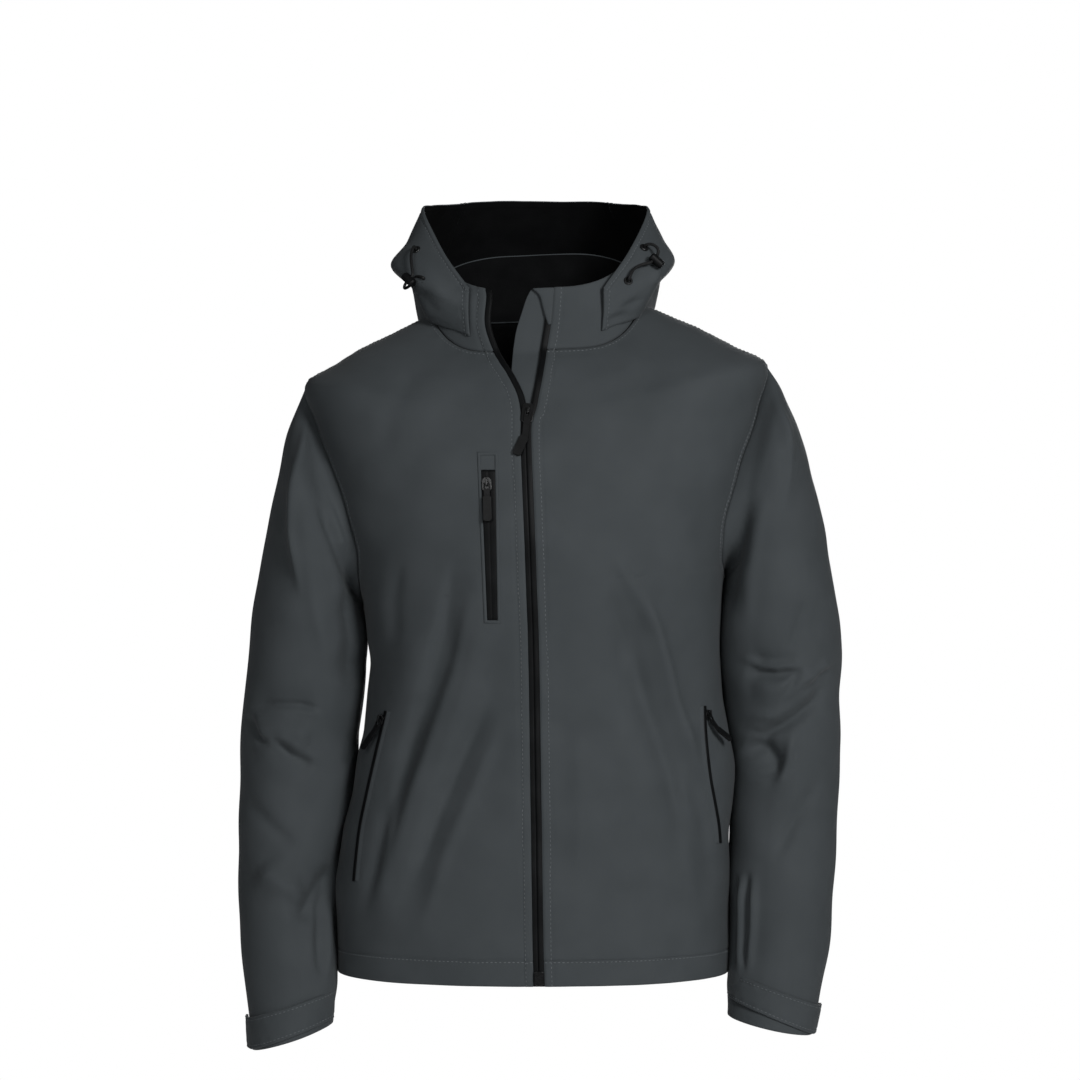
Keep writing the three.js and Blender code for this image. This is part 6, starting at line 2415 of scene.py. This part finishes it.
@dataclass
class HandPocket(LaidTrim):
    """A hand pocket's zip and lip on one front.

    Attributes:
        side: right or left.
        zip_marks: distances across the pocket's line, and how far the zip's face stands up there.
        lip_marks: the same for the lip, away from the middle of the front.
        lines: (x, z) of the pocket's line on each side.
    """

    side: Side = Side.RIGHT
    zip_marks: tuple[Spot, ...] = (
        (-1.6, -0.2), (-1.1, 0.5), (-0.5, 0.7), (0.0, 0.3), (0.5, 0.7), (1.1, 0.5), (1.6, -0.2),
    )
    lip_marks: tuple[Spot, ...] = (
        (1.7, -0.1), (1.9, 0.65), (2.3, 0.9), (2.9, 0.8), (3.7, 0.45), (4.8, 0.1), (6.2, -0.3),
    )
    lines: dict[Side, list[Spot]] = field(default_factory=lambda: {
        Side.RIGHT: [
            (-150.5, -411), (-155, -430), (-163, -464), (-170, -495), (-177, -530), (-181, -565),
            (-182.4, -581),
        ],
        Side.LEFT: [
            (169, -406), (169.5, -426), (171.5, -451), (175, -479), (179.5, -504), (183, -525), (184.5, -543),
        ],
    })

    def band(self, name: str, marks: Sequence[Spot], way: int, finish: Finish) -> bpy.types.Object:
        """A band along the pocket's line.

        Args:
            name: the piece's name.
            marks: distances across the line, and how far the face stands up at each.
            way: 1 where the distances go to the line's left going down, or -1.
            finish: its finish.

        Returns:
            The object.
        """
        offsets, lifts = np.array(marks).T
        line = np.array(self.lines[self.side], float)
        gone = distances(line)
        places = np.linspace(0, gone[-1], 90)
        middle = curve(gone, line, places)
        along = unit(np.gradient(middle, axis=0))
        across = np.stack([along[:, 1], -along[:, 0]], 1)
        spots = middle[:, None] + across[:, None] * (way * offsets)[None, :, None]
        return self.lay(name, spots, lifts[None], 0.7, finish)

    def build(self) -> None:
        """The zip, the lip beside it and the hardware."""
        word = self.side.word
        settle(self.band("pocket_tape_" + word, self.zip_marks, 1, TAPE), Slot.TAPE, ["pocket_zip_" + word])
        lip = self.band("pocket_lip_" + word, self.lip_marks, self.side.value, SHELL)
        settle(lip, Slot.CLOTH, ["pocket_welt_" + word])
        name = "pocket_" + word
        rounded(name + "_slider", "cast", 0.25, LACQUER, Slot.TRIM)
        rounded(name + "_pull", "tab", 0.4, MOULDED, Slot.TRIM, name + "_pull_tab")


@dataclass
class Studio:
    """Camera, floor and lights, in metres.

    Attributes:
        lens: focal length, in millimetres.
        sensor: width of the camera's sensor, in millimetres.
        floor_at: height of the floor.
        floor_radius: its radius.
        aim: place at which the lights are turned.
        ambient: strength of the light from all round.
        lamps: name, place, size and power of each light.
    """

    lens: float = 106.667
    sensor: float = 36.0
    floor_at: float = -1.45
    floor_radius: float = 2.6
    aim: Point = (0.0, 0.0, -0.28)
    ambient: float = 0.07
    lamps: tuple[tuple[str, Point, float, float], ...] = (
        ("key", (1.6, -2.7, 0.8), 1.0, 85.0),
        ("fill", (-1.2, -3.0, 0.6), 1.4, 27.0),
        ("back", (0.3, 3.2, 0.3), 2.2, 60.0),
    )

    def camera(self) -> None:
        """The camera at the photograph's viewing angle."""
        data = bpy.data.cameras.new("camera")
        data.lens, data.sensor_width = self.lens, self.sensor
        made = placed("camera", data)
        made.location = (SIGHT_X * METRE, -SIGHT_DISTANCE * METRE, SIGHT_Z * METRE)
        made.rotation_euler = (math.pi / 2, 0, 0)
        bpy.context.scene.camera = made

    def light(self, name: str, place: Point, size: float, power: float) -> None:
        """A soft light aimed at the chest.

        Args:
            name: the light's name.
            place: where it stands.
            size: its diameter.
            power: in watts.
        """
        data = bpy.data.lights.new(name, "AREA")
        data.shape, data.size, data.energy = "DISK", size, power
        made = placed(name, data)
        made.location = place
        made.rotation_euler = (Vector(self.aim) - Vector(place)).to_track_quat("-Z", "Y").to_euler()

    def build(self) -> None:
        """Floor, world and lights."""
        scene = bpy.context.scene
        scene.view_settings.view_transform = "Standard"
        world = bpy.data.worlds.new("studio")
        scene.world = world
        world.use_nodes = True
        kit = NodeKit(world.node_tree)
        colour = {"Color": (0.93, 0.96, 1, 1), "Strength": self.ambient}
        background = kit.fill(world.node_tree.nodes["Background"], colour)
        seen = kit.node("ShaderNodeBackground", {"Color": (1, 1, 1, 1)})
        from_camera = kit.node("ShaderNodeLightPath").outputs["Is Camera Ray"]
        mix = kit.node("ShaderNodeMixShader", {0: from_camera, 1: background.outputs[0], 2: seen.outputs[0]})
        kit.fill(world.node_tree.nodes["World Output"], {"Surface": mix.outputs[0]})
        for lamp in self.lamps:
            self.light(*lamp)
        radius, turns = self.floor_radius, np.linspace(0, 2 * math.pi, 96, endpoint=False)
        rim = [(radius * math.cos(t), radius * math.sin(t), self.floor_at) for t in turns]
        mesh = bpy.data.meshes.new("floor")
        mesh.from_pydata(rim, [], [list(range(len(rim)))])
        pale = bpy.data.materials.new("pale_floor")
        pale.use_nodes = True
        shader = pale.node_tree.nodes["Principled BSDF"]
        NodeKit(pale.node_tree).fill(shader, {"Base Color": (0.86, 0.86, 0.86, 1), "Roughness": 0.9})
        mesh.materials.append(pale)
        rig.stage(placed("floor", mesh))


def main() -> None:
    """Builds the whole jacket and its studio."""
    logging.basicConfig(level=logging.INFO, format="%(message)s")
    studio = Studio()
    studio.camera()
    Drawcords().build()
    shell = BodyShell()
    shell.build()
    StandCollar().build()
    Hood().build()
    SleeveMaker().build()
    FrontZip().build()
    ChestPocket(shell.panels[Side.RIGHT]).build()
    for side in Side:
        HandPocket(shell.panels[side], side=side).build()
    studio.build()
    boxes = {"cad": CAD_BOX, "visual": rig.bounds()}
    with open("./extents.json", "w", encoding="utf-8") as out:
        json.dump({name: [list(corner) for corner in box] for name, box in boxes.items()}, out)


if __name__ == "__main__":
    main()
